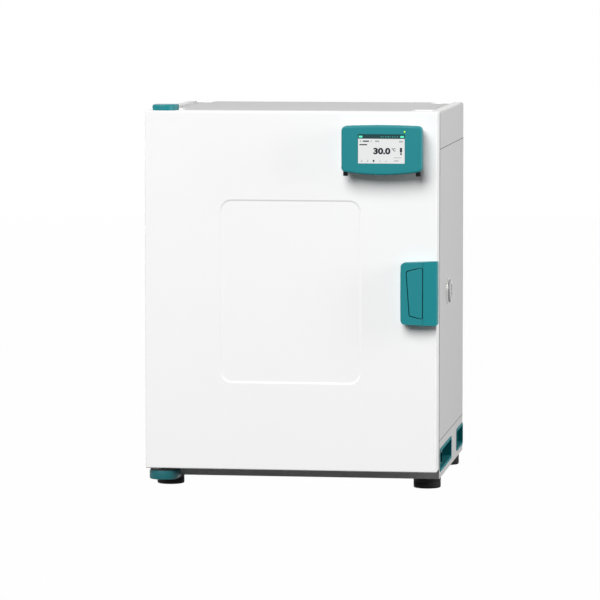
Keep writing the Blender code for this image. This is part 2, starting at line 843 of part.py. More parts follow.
def seat_blocks(grow, floor, top):
    """Blocks over the four stacking seats, which stand over the feet."""
    half = FOOT_RADIUS + SEAT_MARGIN + grow
    for y in FOOT_ROWS.values():
        for side in SIDES.values():
            x = side * (CABINET_HALF - FOOT_INSET - SEAT_MARGIN)
            outline = rectangle((x - half, x + half), (y - half, y + half), SEAT_FILLET + grow, 3)
            yield slab(outline, "Z", (floor, top))


def build_top_cover():
    """The pressed top cover with four stacking seats, two beads and two wall spacers."""
    low = UPPER_SEAM + SEAM / 2
    y_span = (CABINET_FRONT, CABINET_BACK)
    margin = 2 * COVER_FILLET
    cover = block(half_span(CABINET_HALF), (y_span[0] - margin, y_span[1]), (low - margin, CABINET_TOP))
    round_edges(cover, COVER_FILLET, 2)
    trim = block(half_span(CABINET_HALF, -margin), between(*y_span, -margin), (low - 2 * margin, low))
    front_trim = block(
        half_span(CABINET_HALF, -margin),
        (y_span[0] - 2 * margin, y_span[0]),
        (low - margin, CABINET_TOP + margin),
    )
    hollow = block(
        half_span(CABINET_HALF, SHEET),
        (CABINET_FRONT - SHEET, CABINET_BACK - SHEET),
        (low - 2 * SHEET, CABINET_TOP - SHEET),
    )
    for pressing in seat_blocks(SHEET, CABINET_TOP - SEAT_DEPTH - SHEET, CABINET_TOP + SHEET):
        cut(hollow, pressing)
    cut(cover, trim, front_trim, hollow)
    for seat in seat_blocks(0.0, CABINET_TOP - SEAT_DEPTH, CABINET_TOP + SHEET):
        cut(cover, seat)
    seat_half = FOOT_RADIUS + SEAT_MARGIN
    bead_span = (FOOT_ROWS["front"] + seat_half + BEAD_WIDTH, FOOT_ROWS["rear"] - seat_half - BEAD_WIDTH)
    for side in SIDES.values():
        x = side * (CABINET_HALF - FOOT_INSET - SEAT_MARGIN)
        outline = rectangle((x - BEAD_WIDTH / 2, x + BEAD_WIDTH / 2), bead_span, BEAD_WIDTH * 0.45, 2)
        join(cover, slab(outline, "Z", (CABINET_TOP - SHEET / 2, CABINET_TOP + BEAD_RISE)))
    for side in SIDES.values():
        spacer = cylinder(
            SPACER_RADIUS,
            "Y",
            (CABINET_BACK - SHEET / 2, CABINET_BACK + SPACER_DEPTH),
            (side * (CABINET_HALF - SPACER_INSET), (UPPER_SEAM + CABINET_TOP) / 2),
            20,
            SPACER_RADIUS * SPACER_TAPER,
        )
        join(cover, spacer)
    as_part(cover, "top_cover", STEEL_PAINT)


def port_bore(low, high):
    """A bore that the cable port's sleeve passes, along X."""
    return cylinder(PORT_RADIUS + PORT_SLEEVE + GAP, "X", (low, high), (PORT_Y, PORT_Z))


def vent_bore(low, high):
    """A bore that the vent duct passes, along Y."""
    return cylinder(VENT_RADIUS + VENT_TUBE + GAP, "Y", (low, high), (VENT_X, VENT_Z))


def build_panels():
    """Side and rear sheets between the two seams."""
    z_span = (LOWER_SEAM + SEAM / 2, UPPER_SEAM - SEAM / 2)
    for label, side in SIDES.items():
        span = side_span(side, CABINET_HALF - SHEET, CABINET_HALF)
        panel = block(span, (CABINET_FRONT, CABINET_BACK), z_span)
        if label == "right":
            cut(panel, port_bore(span[0] - SHEET, span[1] + SHEET))
        as_part(panel, f"side_panel_{label}", STEEL_PAINT)

    inner = (CABINET_BACK - SHEET, CABINET_BACK)
    panel = block(half_span(INNER_HALF), inner, z_span)
    cut(panel, vent_bore(inner[0] - SHEET, inner[1] + SHEET))
    as_part(panel, "rear_panel", STEEL_PAINT)


def chamber_block(grow, front, back):
    """The chamber's rounded cross-section, grown by a wall, between two depths."""
    x_span = half_span(CHAMBER_HALF, -grow)
    z_span = between(CHAMBER_FLOOR, CHAMBER_CEILING, -grow)
    return slab(rectangle(x_span, z_span, CHAMBER_FILLET + grow), "Y", (front, back))


def build_insulation():
    """The foam tub round the chamber, with ways for the port, the vent and the fan motor."""
    y_span = (LINER_FRONT, CABINET_BACK - SHEET - GAP)
    top = CABINET_TOP - SEAT_DEPTH - SHEET - GAP
    foam = block(half_span(INNER_HALF), y_span, (LOWER_SEAM + SEAM / 2, top))
    liner_back = CHAMBER_REAR + LINER_SHEET
    cut(foam, chamber_block(LINER_SHEET + GAP, LINER_FRONT - SHEET, liner_back + GAP))
    cut(foam, port_bore(CHAMBER_HALF - SHEET, CABINET_HALF + SHEET))
    cut(foam, vent_bore(CHAMBER_REAR - SHEET, CABINET_BACK + SHEET))
    motor_back = liner_back + GAP + MOTOR_LENGTH + GAP
    cut(foam, cylinder(MOTOR_RADIUS + GAP, "Y", (CHAMBER_REAR - SHEET, motor_back), (0.0, FAN_Z)))
    flange_back = liner_back + GAP + MOTOR_FLANGE + GAP
    cut(foam, cylinder(MOTOR_FLANGE_RADIUS + GAP, "Y", (CHAMBER_REAR - SHEET, flange_back), (0.0, FAN_Z)))
    as_part(foam, "insulation", FOAM)


def build_liner():
    """The stainless chamber liner with its shaft, vent and port holes."""
    liner = chamber_block(LINER_SHEET, LINER_FRONT, CHAMBER_REAR + LINER_SHEET)
    cut(liner, chamber_block(0.0, LINER_FRONT - SHEET, CHAMBER_REAR))
    ends = (CHAMBER_REAR - SHEET, CHAMBER_REAR + 2 * SHEET)
    cut(liner, cylinder(SHAFT_RADIUS + SHEET, "Y", ends, (0.0, FAN_Z), 20))
    cut(liner, vent_bore(*ends))
    cut(liner, port_bore(CHAMBER_HALF - 4 * SHEET, CHAMBER_HALF + 2 * SHEET))
    as_part(liner, "chamber_liner", STAINLESS)


def build_front_frame():
    """The thermal-break frame round the chamber mouth, with the glass door's recess."""
    z_span = (LOWER_SEAM + SEAM / 2, CABINET_TOP - SHEET - GAP)
    frame = block(half_span(INNER_HALF), (CABINET_FRONT, CABINET_FRONT + FRAME_THICKNESS), z_span)
    recess = rectangle(
        half_span(CHAMBER_HALF, -RECESS_MARGIN),
        between(CHAMBER_FLOOR, CHAMBER_CEILING, -RECESS_MARGIN),
        RECESS_FILLET,
    )
    cut(frame, slab(recess, "Y", (CABINET_FRONT - SHEET, RECESS_FLOOR)))
    cut(frame, chamber_block(0.0, CABINET_FRONT, LINER_FRONT + SHEET))
    as_part(frame, "front_frame", GREY_PLASTIC)


def ring(inner, width, front, back):
    """A seal round the chamber mouth, its inner edge a margin outside the mouth."""
    outer = chamber_block(inner + width, front, back)
    return cut(outer, chamber_block(inner, front - SHEET, back + SHEET))


def build_glass_door():
    """The inner glass door with its seal, hinge brackets, hinge shoes and knob."""
    seal = ring(GLASS_LAP - SEAL_WIDTH - GAP, SEAL_WIDTH, RECESS_FLOOR - SEAL_DEPTH, RECESS_FLOOR - GAP)
    as_part(seal, "glass_seal", SILICONE)

    axis = pivot("glass_door_axis", (GLASS_AXIS_X, GLASS_AXIS_Y, 0.0))
    x_span = half_span(CHAMBER_HALF, -GLASS_LAP)
    z_span = between(CHAMBER_FLOOR, CHAMBER_CEILING, -GLASS_LAP)
    pane = slab(rectangle(x_span, z_span, GLASS_CORNER, 3), "Y", (GLASS_FRONT, GLASS_BACK))
    knob_x = x_span[1] - KNOB_INSET
    knob_z = (CHAMBER_FLOOR + CHAMBER_CEILING) / 2
    screw_radius = KNOB_RADIUS * KNOB_SCREW
    through = (GLASS_FRONT - SHEET, GLASS_BACK + SHEET)
    cut(pane, cylinder(screw_radius + GAP, "Y", through, (knob_x, knob_z), 16))
    as_part(pane, "glass_pane", GLASS, axis)

    profile = [
        (0.0, KNOB_HEIGHT),
        (KNOB_RADIUS - KNOB_CHAMFER, KNOB_HEIGHT),
        (KNOB_RADIUS, KNOB_HEIGHT - KNOB_CHAMFER),
        (KNOB_RADIUS, KNOB_HEIGHT * 0.6),
        (KNOB_RADIUS * KNOB_WAIST, KNOB_HEIGHT * 0.35),
        (KNOB_RADIUS * KNOB_FOOT, GAP),
        (screw_radius, GAP),
        (screw_radius, -GLASS_THICKNESS + GAP),
        (0.0, -GLASS_THICKNESS + GAP),
    ]
    knob = turned(profile, "Y", (knob_x, GLASS_FRONT, knob_z), 20)
    as_part(knob, "glass_knob", TEAL, axis)

    for label, edge, inward in (("top", z_span[1], -1), ("bottom", z_span[0], 1)):
        shoe = glass_shoe(x_span[0], edge, inward)
        as_part(shoe, f"glass_shoe_{label}", STAINLESS, axis)
        bracket = glass_bracket(edge, inward)
        as_part(bracket, f"glass_bracket_{label}", STAINLESS)


def glass_shoe(left, edge, inward):
    """A clip over the front of the pane's corner, ending in a hinge knuckle."""
    z_in = edge + inward * SHOE_HEIGHT
    z_out = edge - inward * SHOE_WALL
    z_span = (min(z_in, z_out), max(z_in, z_out))
    shoe = block(
        (GLASS_AXIS_X, left + SHOE_LENGTH),
        (GLASS_FRONT - SHOE_WALL, GLASS_FRONT - GAP),
        z_span,
    )
    lip_span = (min(edge - inward * GAP, z_out), max(edge - inward * GAP, z_out))
    lip = block((left + SHOE_WALL, left + SHOE_LENGTH), (GLASS_FRONT - SHOE_WALL, GLASS_BACK), lip_span)
    knuckle = cylinder(KNUCKLE_RADIUS, "Z", z_span, (GLASS_AXIS_X, GLASS_AXIS_Y), 20)
    bore = cylinder(
        GLASS_PIN_RADIUS + GAP,
        "Z",
        (z_span[0] - SHEET, z_span[1] + SHEET),
        (GLASS_AXIS_X, GLASS_AXIS_Y),
        20,
    )
    join(shoe, lip, knuckle)
    return cut(shoe, bore)


def glass_bracket(edge, inward):
    """A bracket on the recess floor whose pin the glass door's shoe turns on."""
    z_face = edge - inward * (SHOE_WALL + GAP)
    z_far = z_face - inward * GLASS_BRACKET_HEIGHT
    z_span = (min(z_face, z_far), max(z_face, z_far))
    bracket = block(
        (GLASS_AXIS_X - KNUCKLE_RADIUS, GLASS_AXIS_X + GLASS_BRACKET_REACH),
        (GLASS_AXIS_Y - KNUCKLE_RADIUS, RECESS_FLOOR - GAP),
        z_span,
    )
    round_edges(bracket, GLASS_BRACKET_FILLET, 1)
    z_tip = edge + inward * (SHOE_HEIGHT - GAP)
    z_root = z_face - inward * GLASS_BRACKET_HEIGHT / 2
    pin = cylinder(
        GLASS_PIN_RADIUS,
        "Z",
        (min(z_tip, z_root), max(z_tip, z_root)),
        (GLASS_AXIS_X, GLASS_AXIS_Y),
        20,
    )
    return join(bracket, pin)


def hinge_plan(inset, depth, radius, reach):
    """A hinge cover's plan: straight sides and a round front, centred behind the door's face."""
    centre = inset - CABINET_HALF
    centre_y = DOOR_FRONT + depth
    points = []
    for step in range(COVER_STEPS + 1):
        angle = math.pi + math.pi * step / COVER_STEPS
        points.append((centre + radius * math.cos(angle), centre_y + radius * math.sin(angle)))
    points.append((centre + radius, reach))
    points.append((centre - radius, reach))
    return points


def hinge_width(inset, radius):
    """The limits along X of a hinge piece centred an inset from the side."""
    return (inset - CABINET_HALF - radius, inset - CABINET_HALF + radius)


def hinge_pin(low, high):
    """A pin on the door's hinge axis."""
    return cylinder(HINGE_PIN_RADIUS, "Z", (low, high), (HINGE_X, HINGE_Y), 20)


def build_upper_hinge():
    """The upper hinge: a bracket on the cabinet's top with its pin, and the cover over it."""
    reach = CABINET_FRONT + COVER_REACH
    bracket_radius = COVER_RADIUS - COVER_WALL
    plate_top = BRACKET_BOTTOM + BRACKET_THICKNESS
    plan = hinge_plan(COVER_INSET, COVER_DEPTH, bracket_radius, reach - COVER_WALL)
    bracket = slab(plan, "Z", (BRACKET_BOTTOM, plate_top))
    heel = block(
        hinge_width(COVER_INSET, bracket_radius),
        (CABINET_FRONT + COVER_WALL, reach - COVER_WALL),
        (CABINET_TOP + GAP, BRACKET_BOTTOM + BRACKET_THICKNESS / 2),
    )
    pin_end = DOOR_TOP - BUSH_LENGTH + 4 * GAP
    join(bracket, heel, hinge_pin(pin_end, BRACKET_BOTTOM + BRACKET_THICKNESS / 2))
    as_part(bracket, "hinge_bracket_top", ZINC)

    cover_top = plate_top + GAP + COVER_HEIGHT - BRACKET_THICKNESS
    plan = hinge_plan(COVER_INSET, COVER_DEPTH, COVER_RADIUS, reach)
    cover = slab(plan, "Z", (CABINET_TOP + GAP, cover_top))
    round_edges(cover, COVER_EDGE, 2, 60.0)
    sweep = block(
        hinge_width(COVER_INSET, 2 * COVER_RADIUS),
        (DOOR_FRONT - COVER_RADIUS, CABINET_FRONT),
        (CABINET_TOP - SHEET, BRACKET_BOTTOM),
    )
    pocket = slab(
        hinge_plan(COVER_INSET, COVER_DEPTH, bracket_radius + GAP, reach - COVER_WALL + GAP),
        "Z",
        (CABINET_TOP - SHEET, plate_top + GAP),
    )
    cut(cover, sweep, pocket)
    as_part(cover, "hinge_cover_top", TEAL)


def build_lower_hinge():
    """The lower hinge: a bracket on the base's front with its pin, and the cover round it."""
    bracket_radius = LOWER_COVER_RADIUS - COVER_WALL
    plate_low = LOWER_BRACKET_TOP - BRACKET_THICKNESS
    wall_face = CABINET_FRONT - GAP
    plan = hinge_plan(LOWER_COVER_INSET, LOWER_COVER_DEPTH, bracket_radius, wall_face)
    lower = slab(plan, "Z", (plate_low, LOWER_BRACKET_TOP))
    flange = block(
        hinge_width(LOWER_COVER_INSET, bracket_radius),
        (wall_face - BRACKET_THICKNESS, wall_face),
        (BASE_BOTTOM + SHEET, LOWER_BRACKET_TOP - BRACKET_THICKNESS / 2),
    )
    pin_top = DOOR_BOTTOM + BUSH_LENGTH - 4 * GAP
    join(lower, flange, hinge_pin(LOWER_BRACKET_TOP - BRACKET_THICKNESS / 2, pin_top))
    as_part(lower, "hinge_bracket_bottom", ZINC)

    cover_low = LOWER_BRACKET_TOP - LOWER_COVER_HEIGHT
    plan = hinge_plan(LOWER_COVER_INSET, LOWER_COVER_DEPTH, LOWER_COVER_RADIUS, wall_face)
    cover = slab(plan, "Z", (cover_low, plate_low - GAP))
    pocket = block(
        hinge_width(LOWER_COVER_INSET, bracket_radius + GAP),
        (wall_face - BRACKET_THICKNESS - GAP, wall_face + SHEET),
        (BASE_BOTTOM + SHEET - GAP, plate_low + SHEET),
    )
    reach = CABINET_FRONT + COVER_REACH
    tail_plan = hinge_plan(LOWER_COVER_INSET, LOWER_COVER_DEPTH, LOWER_COVER_RADIUS, reach)
    tail = slab(tail_plan, "Z", (cover_low, BASE_BOTTOM - GAP))
    join(cover, tail)
    flattened(cover)
    round_edges(cover, COVER_EDGE, 2, 60.0)
    cut(cover, pocket)
    as_part(cover, "hinge_cover_bottom", TEAL)


def build_hinge_bushes(axis):
    """Plastic bushes in the door's top and bottom edges, which turn on the bracket pins."""
    bore = HINGE_PIN_RADIUS + GAP
    top = turned(
        [
            (bore, 0.0),
            (BUSH_RADIUS, 0.0),
            (BUSH_RADIUS, -BUSH_LENGTH),
            (bore, -BUSH_LENGTH),
            (bore, 0.0),
        ],
        "Z",
        (HINGE_X, HINGE_Y, DOOR_TOP + GAP),
        20,
    )
    as_part(top, "hinge_bush_top", WHITE_PLASTIC, axis)
    flange_radius = BUSH_RADIUS + BUSH_FLANGE_WIDTH
    bottom = turned(
        [
            (bore, BUSH_LENGTH),
            (BUSH_RADIUS, BUSH_LENGTH),
            (BUSH_RADIUS, -GAP),
            (flange_radius, -GAP),
            (flange_radius, -BUSH_FLANGE - GAP),
            (bore, -BUSH_FLANGE - GAP),
            (bore, BUSH_LENGTH),
        ],
        "Z",
        (HINGE_X, HINGE_Y, DOOR_BOTTOM),
        20,
    )
    as_part(bottom, "hinge_bush_bottom", WHITE_PLASTIC, axis)


def pressed_panel(grow, depth):
    """A shallow rounded pressing in the door's front, with sloping sides."""
    half = PANEL_HALF_WIDTH + grow
    z_span = between(DOOR_BOTTOM + PANEL_LOW, DOOR_BOTTOM + PANEL_HIGH, -grow)
    mouth = rectangle(half_span(half), z_span, PANEL_FILLET + grow, 5)
    radius = PANEL_FILLET + grow - PANEL_SLOPE
    floor = rectangle(half_span(half, PANEL_SLOPE), between(*z_span, PANEL_SLOPE), radius, 5)
    slope = depth / PANEL_DEPTH
    bm = bmesh.new()
    rings = []
    for outline, y in ((mouth, -PANEL_DEPTH * slope), (mouth, 0.0), (floor, depth)):
        rings.append([bm.verts.new((u, y, v)) for u, v in outline])
    for first, second in zip(rings, rings[1:]):
        for index in range(len(first)):
            after = (index + 1) % len(first)
            bm.faces.new((first[index], first[after], second[after], second[index]))
    bm.faces.new(rings[0])
    bm.faces.new(list(reversed(rings[-1])))
    bmesh.ops.recalc_face_normals(bm, faces=bm.faces)
    return from_bmesh(bm, (0.0, DOOR_FRONT, 0.0))


def door_block(inset, segments=3):
    """The door's form with its front edges rounded, drawn in by an inset and open to the back."""
    form = block(
        half_span(CABINET_HALF, inset),
        (DOOR_FRONT + inset, DOOR_BACK + 2 * DOOR_FILLET),
        between(DOOR_BOTTOM, DOOR_TOP, inset),
    )
    return round_edges(form, DOOR_FILLET - inset, segments)


def behind(y):
    """A block that takes away all of the door behind a plane."""
    reach = 2 * DOOR_THICKNESS
    return block(half_span(CABINET_HALF, -reach), (y, y + reach), between(DOOR_BOTTOM, DOOR_TOP, -reach))


def bush_bores(reach):
    """Bores for the two hinge bushes."""
    for span in ((DOOR_TOP - reach, DOOR_TOP + SHEET), (DOOR_BOTTOM - SHEET, DOOR_BOTTOM + reach)):
        yield cylinder(BUSH_RADIUS + GAP, "Z", span, (HINGE_X, HINGE_Y), 20)


def build_door_shell(axis):
    """The pressed door skin, with a bump inside where the front is pressed in."""
    shell = cut(door_block(0.0), behind(DOOR_BACK))
    hollow = cut(door_block(SKIN), pressed_panel(SKIN, PANEL_DEPTH + SKIN))
    cut(shell, hollow, pressed_panel(0.0, PANEL_DEPTH), *bush_bores(BUSH_LENGTH))
    as_part(shell, "door_outer_shell", WHITE_PAINT, axis)


def build_door(axis):
    """The outer door: skin, foam, inner sheet and gasket."""
    build_door_shell(axis)
    build_hinge_bushes(axis)

    inner_front = DOOR_BACK - INNER_SHEET
    foam = cut(door_block(SKIN + GAP), behind(inner_front - GAP))
    cut(foam, pressed_panel(SKIN + GAP, PANEL_DEPTH + SKIN + GAP), *bush_bores(BUSH_LENGTH + 2 * GAP))
    cut(foam, bolt_block(GAP, BOLT_TRAVEL + GAP, inner_front - BOLT_ROOT - GAP, DOOR_BACK))
    as_part(foam, "door_insulation", FOAM, axis)

    inset = SKIN + GAP
    outline = rectangle(
        half_span(CABINET_HALF, inset), between(DOOR_BOTTOM, DOOR_TOP, inset), DOOR_FILLET - inset, 3
    )
    inner = slab(outline, "Y", (inner_front, DOOR_BACK))
    cut(inner, bolt_block(GAP, BOLT_TRAVEL + GAP, inner_front - SHEET, DOOR_BACK + SHEET))
    as_part(inner, "door_inner_sheet", STAINLESS, axis)

    gasket = ring(RECESS_MARGIN + GASKET_MARGIN, GASKET_WIDTH, DOOR_BACK + GAP, CABINET_FRONT - GAP)
    as_part(gasket, "door_gasket", RUBBER, axis)


def bolt_block(grow, travel, front, back):
    """The latch bolt's cross-section with room to slide towards the hinge."""
    right = CABINET_HALF - BOLT_INSET
    z_span = (LATCH_Z - BOLT_HEIGHT / 2 - grow, LATCH_Z + BOLT_HEIGHT / 2 + grow)
    return block((right - BOLT_WIDTH - travel, right + grow), (front, back), z_span)


def build_latch(axis):
    """The sliding latch bolt in the door and its keeper on the cabinet."""
    slide = pivot("latch_axis", (CABINET_HALF - BOLT_INSET - BOLT_WIDTH / 2, DOOR_BACK, LATCH_Z))
    bolt = bolt_block(0.0, 0.0, DOOR_BACK - INNER_SHEET - BOLT_ROOT, DOOR_BACK + BOLT_PROUD)
    round_edges(bolt, BOLT_FILLET, 2)
    as_part(bolt, "latch_bolt", ZINC, slide)
    slide.location = Vector(slide.location) - Vector(axis.location)
    slide.parent = axis

    left = CABINET_HALF - BOLT_INSET + KEEPER_CLEAR
    z_span = (LATCH_Z - KEEPER_HEIGHT / 2, LATCH_Z + KEEPER_HEIGHT / 2)
    back = CABINET_FRONT - GAP
    keeper = block((left, left + KEEPER_WIDTH), (back - KEEPER_THICKNESS, back), z_span)
    lip = block((left, left + KEEPER_THICKNESS), (back - KEEPER_DEPTH, back - KEEPER_THICKNESS / 2), z_span)
    as_part(join(keeper, lip), "latch_keeper", ZINC)


def build_handle(axis):
    """The moulded handle that wraps the door's free edge, with a flush release paddle."""
    right = CABINET_HALF + HANDLE_WRAP
    low = DOOR_BOTTOM + HANDLE_LOW
    high = DOOR_BOTTOM + HANDLE_HIGH
    front = DOOR_FRONT - HANDLE_PROUD
    plan = filleted(
        [
            (HANDLE_LEFT, DOOR_FRONT - GAP, 0.0),
            (HANDLE_LEFT + HANDLE_DRAFT, front, HANDLE_ROOT_FILLET),
            (CABINET_HALF - HANDLE_SHOULDER_INSET, front, HANDLE_SHOULDER_FILLET),
            (right, front + HANDLE_FALL, HANDLE_ROOT_FILLET),
            (right, DOOR_FRONT + HANDLE_WRAP_DEPTH, HANDLE_TAIL_FILLET),
            (CABINET_HALF + GAP, DOOR_FRONT + HANDLE_WRAP_DEPTH, 0.0),
            (CABINET_HALF + GAP, DOOR_FRONT - GAP, 0.0),
        ],
        4,
    )
    handle = slab(plan, "Z", (low, high))
    outline = filleted(
        [
            (HANDLE_LEFT, low + HANDLE_TAPER, HANDLE_FILLET),
            (right + SHEET, low, 0.0),
            (right + SHEET, high, 0.0),
            (HANDLE_LEFT, high - HANDLE_TAPER, HANDLE_FILLET),
        ],
        4,
    )
    face = slab(outline, "Y", (front - SHEET, DOOR_FRONT + HANDLE_WRAP_DEPTH + SHEET))
    boolean(handle, face, "INTERSECT")
    flattened(handle)
    bm = bmesh.new()
    bm.from_mesh(handle.data)
    bmesh.ops.dissolve_limit(bm, angle_limit=math.radians(0.5), verts=bm.verts, edges=bm.edges)
    bm.to_mesh(handle.data)
    bm.free()
    round_edges(handle, HANDLE_EDGE, 2, 50.0)
    floor = front + POCKET_DEPTH
    cut(handle, slab(paddle_outline(PADDLE_GAP), "Y", (front - SHEET, floor)))
    pin_x = PADDLE_RIGHT - TRUNNION_EDGE
    pin_y = front + TRUNNION_EDGE + SHEET
    pin_span = (
        DOOR_BOTTOM + PADDLE_LOW_RIGHT - PADDLE_GAP - TRUNNION_LENGTH,
        DOOR_BOTTOM + PADDLE_HIGH_RIGHT + PADDLE_GAP + TRUNNION_LENGTH,
    )
    cut(handle, cylinder(TRUNNION_RADIUS + GAP, "Z", between(*pin_span, -GAP), (pin_x, pin_y), 16))
    as_part(handle, "handle_body", TEAL, axis)

    hinge = pivot("paddle_axis", (pin_x, pin_y, DOOR_BOTTOM + (PADDLE_LOW_RIGHT + PADDLE_HIGH_RIGHT) / 2))
    paddle = slab(paddle_outline(0.0), "Y", (front + GAP, front + GAP + PADDLE_THICKNESS))
    join(paddle, cylinder(TRUNNION_RADIUS, "Z", pin_span, (pin_x, pin_y), 16))
    as_part(paddle, "release_paddle", TEAL, hinge)
    hinge.location = Vector(hinge.location) - Vector(axis.location)
    hinge.parent = axis


def paddle_outline(grow):
    """The paddle's four-sided outline, slanted at its left, grown by a gap."""
    left_top = CABINET_HALF - PADDLE_TOP_INSET - grow
    left_bottom = CABINET_HALF - PADDLE_BOTTOM_INSET - grow
    return filleted(
        [
            (left_bottom, DOOR_BOTTOM + PADDLE_LOW_LEFT - grow, PADDLE_FILLET + grow),
            (PADDLE_RIGHT + grow, DOOR_BOTTOM + PADDLE_LOW_RIGHT - grow, PADDLE_FILLET + grow),
            (PADDLE_RIGHT + grow, DOOR_BOTTOM + PADDLE_HIGH_RIGHT + grow, PADDLE_FILLET + grow),
            (left_top, DOOR_BOTTOM + PADDLE_HIGH_LEFT + grow, PADDLE_FILLET + grow),
        ],
        4,
    )


def pod_outline(inset):
    """The controller's front outline: rounded corners and gently crowned top and bottom."""
    left = POD_LEFT + inset
    right = POD_RIGHT - inset
    low = POD_LOW + inset
    high = POD_HIGH - inset
    middle = (left + right) / 2
    quarter = (right - left) / 4
    radius = max(POD_FILLET - inset, LEAST_FILLET)
    corners = [
        (left, low, radius),
        (middle - quarter, low - POD_CROWN_LOW * 0.75, POD_CROWN_RADIUS),
        (middle + quarter, low - POD_CROWN_LOW * 0.75, POD_CROWN_RADIUS),
        (right, low, radius),
        (right, high, radius),
        (middle + quarter, high + POD_CROWN_HIGH * 0.75, POD_CROWN_RADIUS),
        (middle - quarter, high + POD_CROWN_HIGH * 0.75, POD_CROWN_RADIUS),
        (left, high, radius),
    ]
    return filleted(corners, 3)


def build_controller(axis):
    """The touch-screen controller housing on the door's upper right."""
    front = DOOR_FRONT - POD_DEPTH
    split = DOOR_FRONT - POD_BACK_DEPTH
    shell = slab(pod_outline(0.0), "Y", (front, split))
    bevel = round_edges(shell, POD_EDGE, 3, 60.0)
    cut(bevel, slab(pod_outline(POD_WALL), "Y", (front + POD_WALL + SCREEN_THICKNESS, split + SHEET)))
    screen_x = (SCREEN_LEFT, SCREEN_LEFT + SCREEN_WIDTH)
    screen_z = (POD_LOW + SCREEN_RISE, POD_LOW + SCREEN_RISE + SCREEN_HEIGHT)
    glass_back = front + SCREEN_SUNK + SCREEN_THICKNESS
    seat = rectangle(between(*screen_x, -GAP), between(*screen_z, -GAP), SCREEN_FILLET, 3)
    cut(shell, slab(seat, "Y", (front - SHEET, glass_back + GAP)))
    through = (front - SHEET, front + 4 * POD_WALL)
    cut(shell, block(between(*screen_x, POD_WALL), through, between(*screen_z, POD_WALL)))
    led_z = POD_LOW + LED_RISE
    cut(shell, cylinder(LED_RADIUS + GAP, "Y", through, (LED_X, led_z), 16))
    as_part(shell, "controller_shell", TEAL, axis)

    build_display(axis, screen_x, screen_z, (front + SCREEN_SUNK, glass_back))

    led = turned(
        [
            (0.0, LED_DOME),
            (LED_RADIUS * 0.6, LED_DOME * 0.7),
            (LED_RADIUS, 0.0),
            (LED_RADIUS, -LED_LENGTH),
            (0.0, -LED_LENGTH),
        ],
        "Y",
        (LED_X, front, led_z),
        16,
    )
    as_part(led, "status_led", LIGHT_PIPE, axis)

    back = slab(pod_outline(POD_WALL), "Y", (split + GAP, DOOR_FRONT - GAP))
    rim = slab(pod_outline(POD_WALL + GAP), "Y", (split - POD_RIM_DEPTH, split + SHEET))
    join(back, rim)
    inside = (split - POD_RIM_DEPTH - SHEET, DOOR_FRONT - GAP - POD_WALL)
    cut(back, slab(pod_outline(2 * POD_WALL), "Y", inside))
    as_part(back, "controller_back", GREY_PLASTIC, axis)
    build_bumpers(axis)


def build_display(axis, screen_x, screen_z, y_span):
    """The touch display: cover glass, the panel behind it and the circuit board that carries it."""
    glass = slab(rectangle(screen_x, screen_z, SCREEN_FILLET, 3), "Y", y_span)
    face = y_span[1] + PANEL_STACK
    panel = block(between(*screen_x, BOARD_MARGIN), (y_span[1] - GAP, face), between(*screen_z, BOARD_MARGIN))
    inset = BOARD_MARGIN / 2
    board = block(between(*screen_x, inset), (face - GAP, face + BOARD_THICKNESS), between(*screen_z, inset))
    as_part(join(glass, panel, board), "display_module", SCREEN, axis)


def build_bumpers(axis):
    """Two round rubber bumpers under the controller's lower corners."""
    for label, x in (("left", POD_LEFT + BUMPER_INSET), ("right", POD_RIGHT - BUMPER_INSET)):
        top = bumper_top(x)
        y = DOOR_FRONT - POD_DEPTH + BUMPER_DEPTH
        bumper = turned(
            [
                (0.0, 0.0),
                (BUMPER_RADIUS, 0.0),
                (BUMPER_RADIUS, -BUMPER_HEIGHT + BUMPER_CHAMFER),
                (BUMPER_RADIUS - BUMPER_CHAMFER, -BUMPER_HEIGHT),
                (0.0, -BUMPER_HEIGHT),
            ],
            "Z",
            (x, y, top),
            16,
        )
        as_part(bumper, f"controller_bumper_{label}", RUBBER, axis)


def bumper_top(x):
    """The height just under the controller's lowest edge across one bumper."""
    outline = pod_outline(0.0)
    lows = []
    for index, point in enumerate(outline):
        after = outline[(index + 1) % len(outline)]
        if max(point[1], after[1]) > (POD_LOW + POD_HIGH) / 2:
            continue
        for edge in (x - BUMPER_RADIUS, x + BUMPER_RADIUS):
            if min(point[0], after[0]) <= edge <= max(point[0], after[0]) and point[0] != after[0]:
                share = (edge - point[0]) / (after[0] - point[0])
                lows.append(point[1] + share * (after[1] - point[1]))
    return min(lows) - GAP


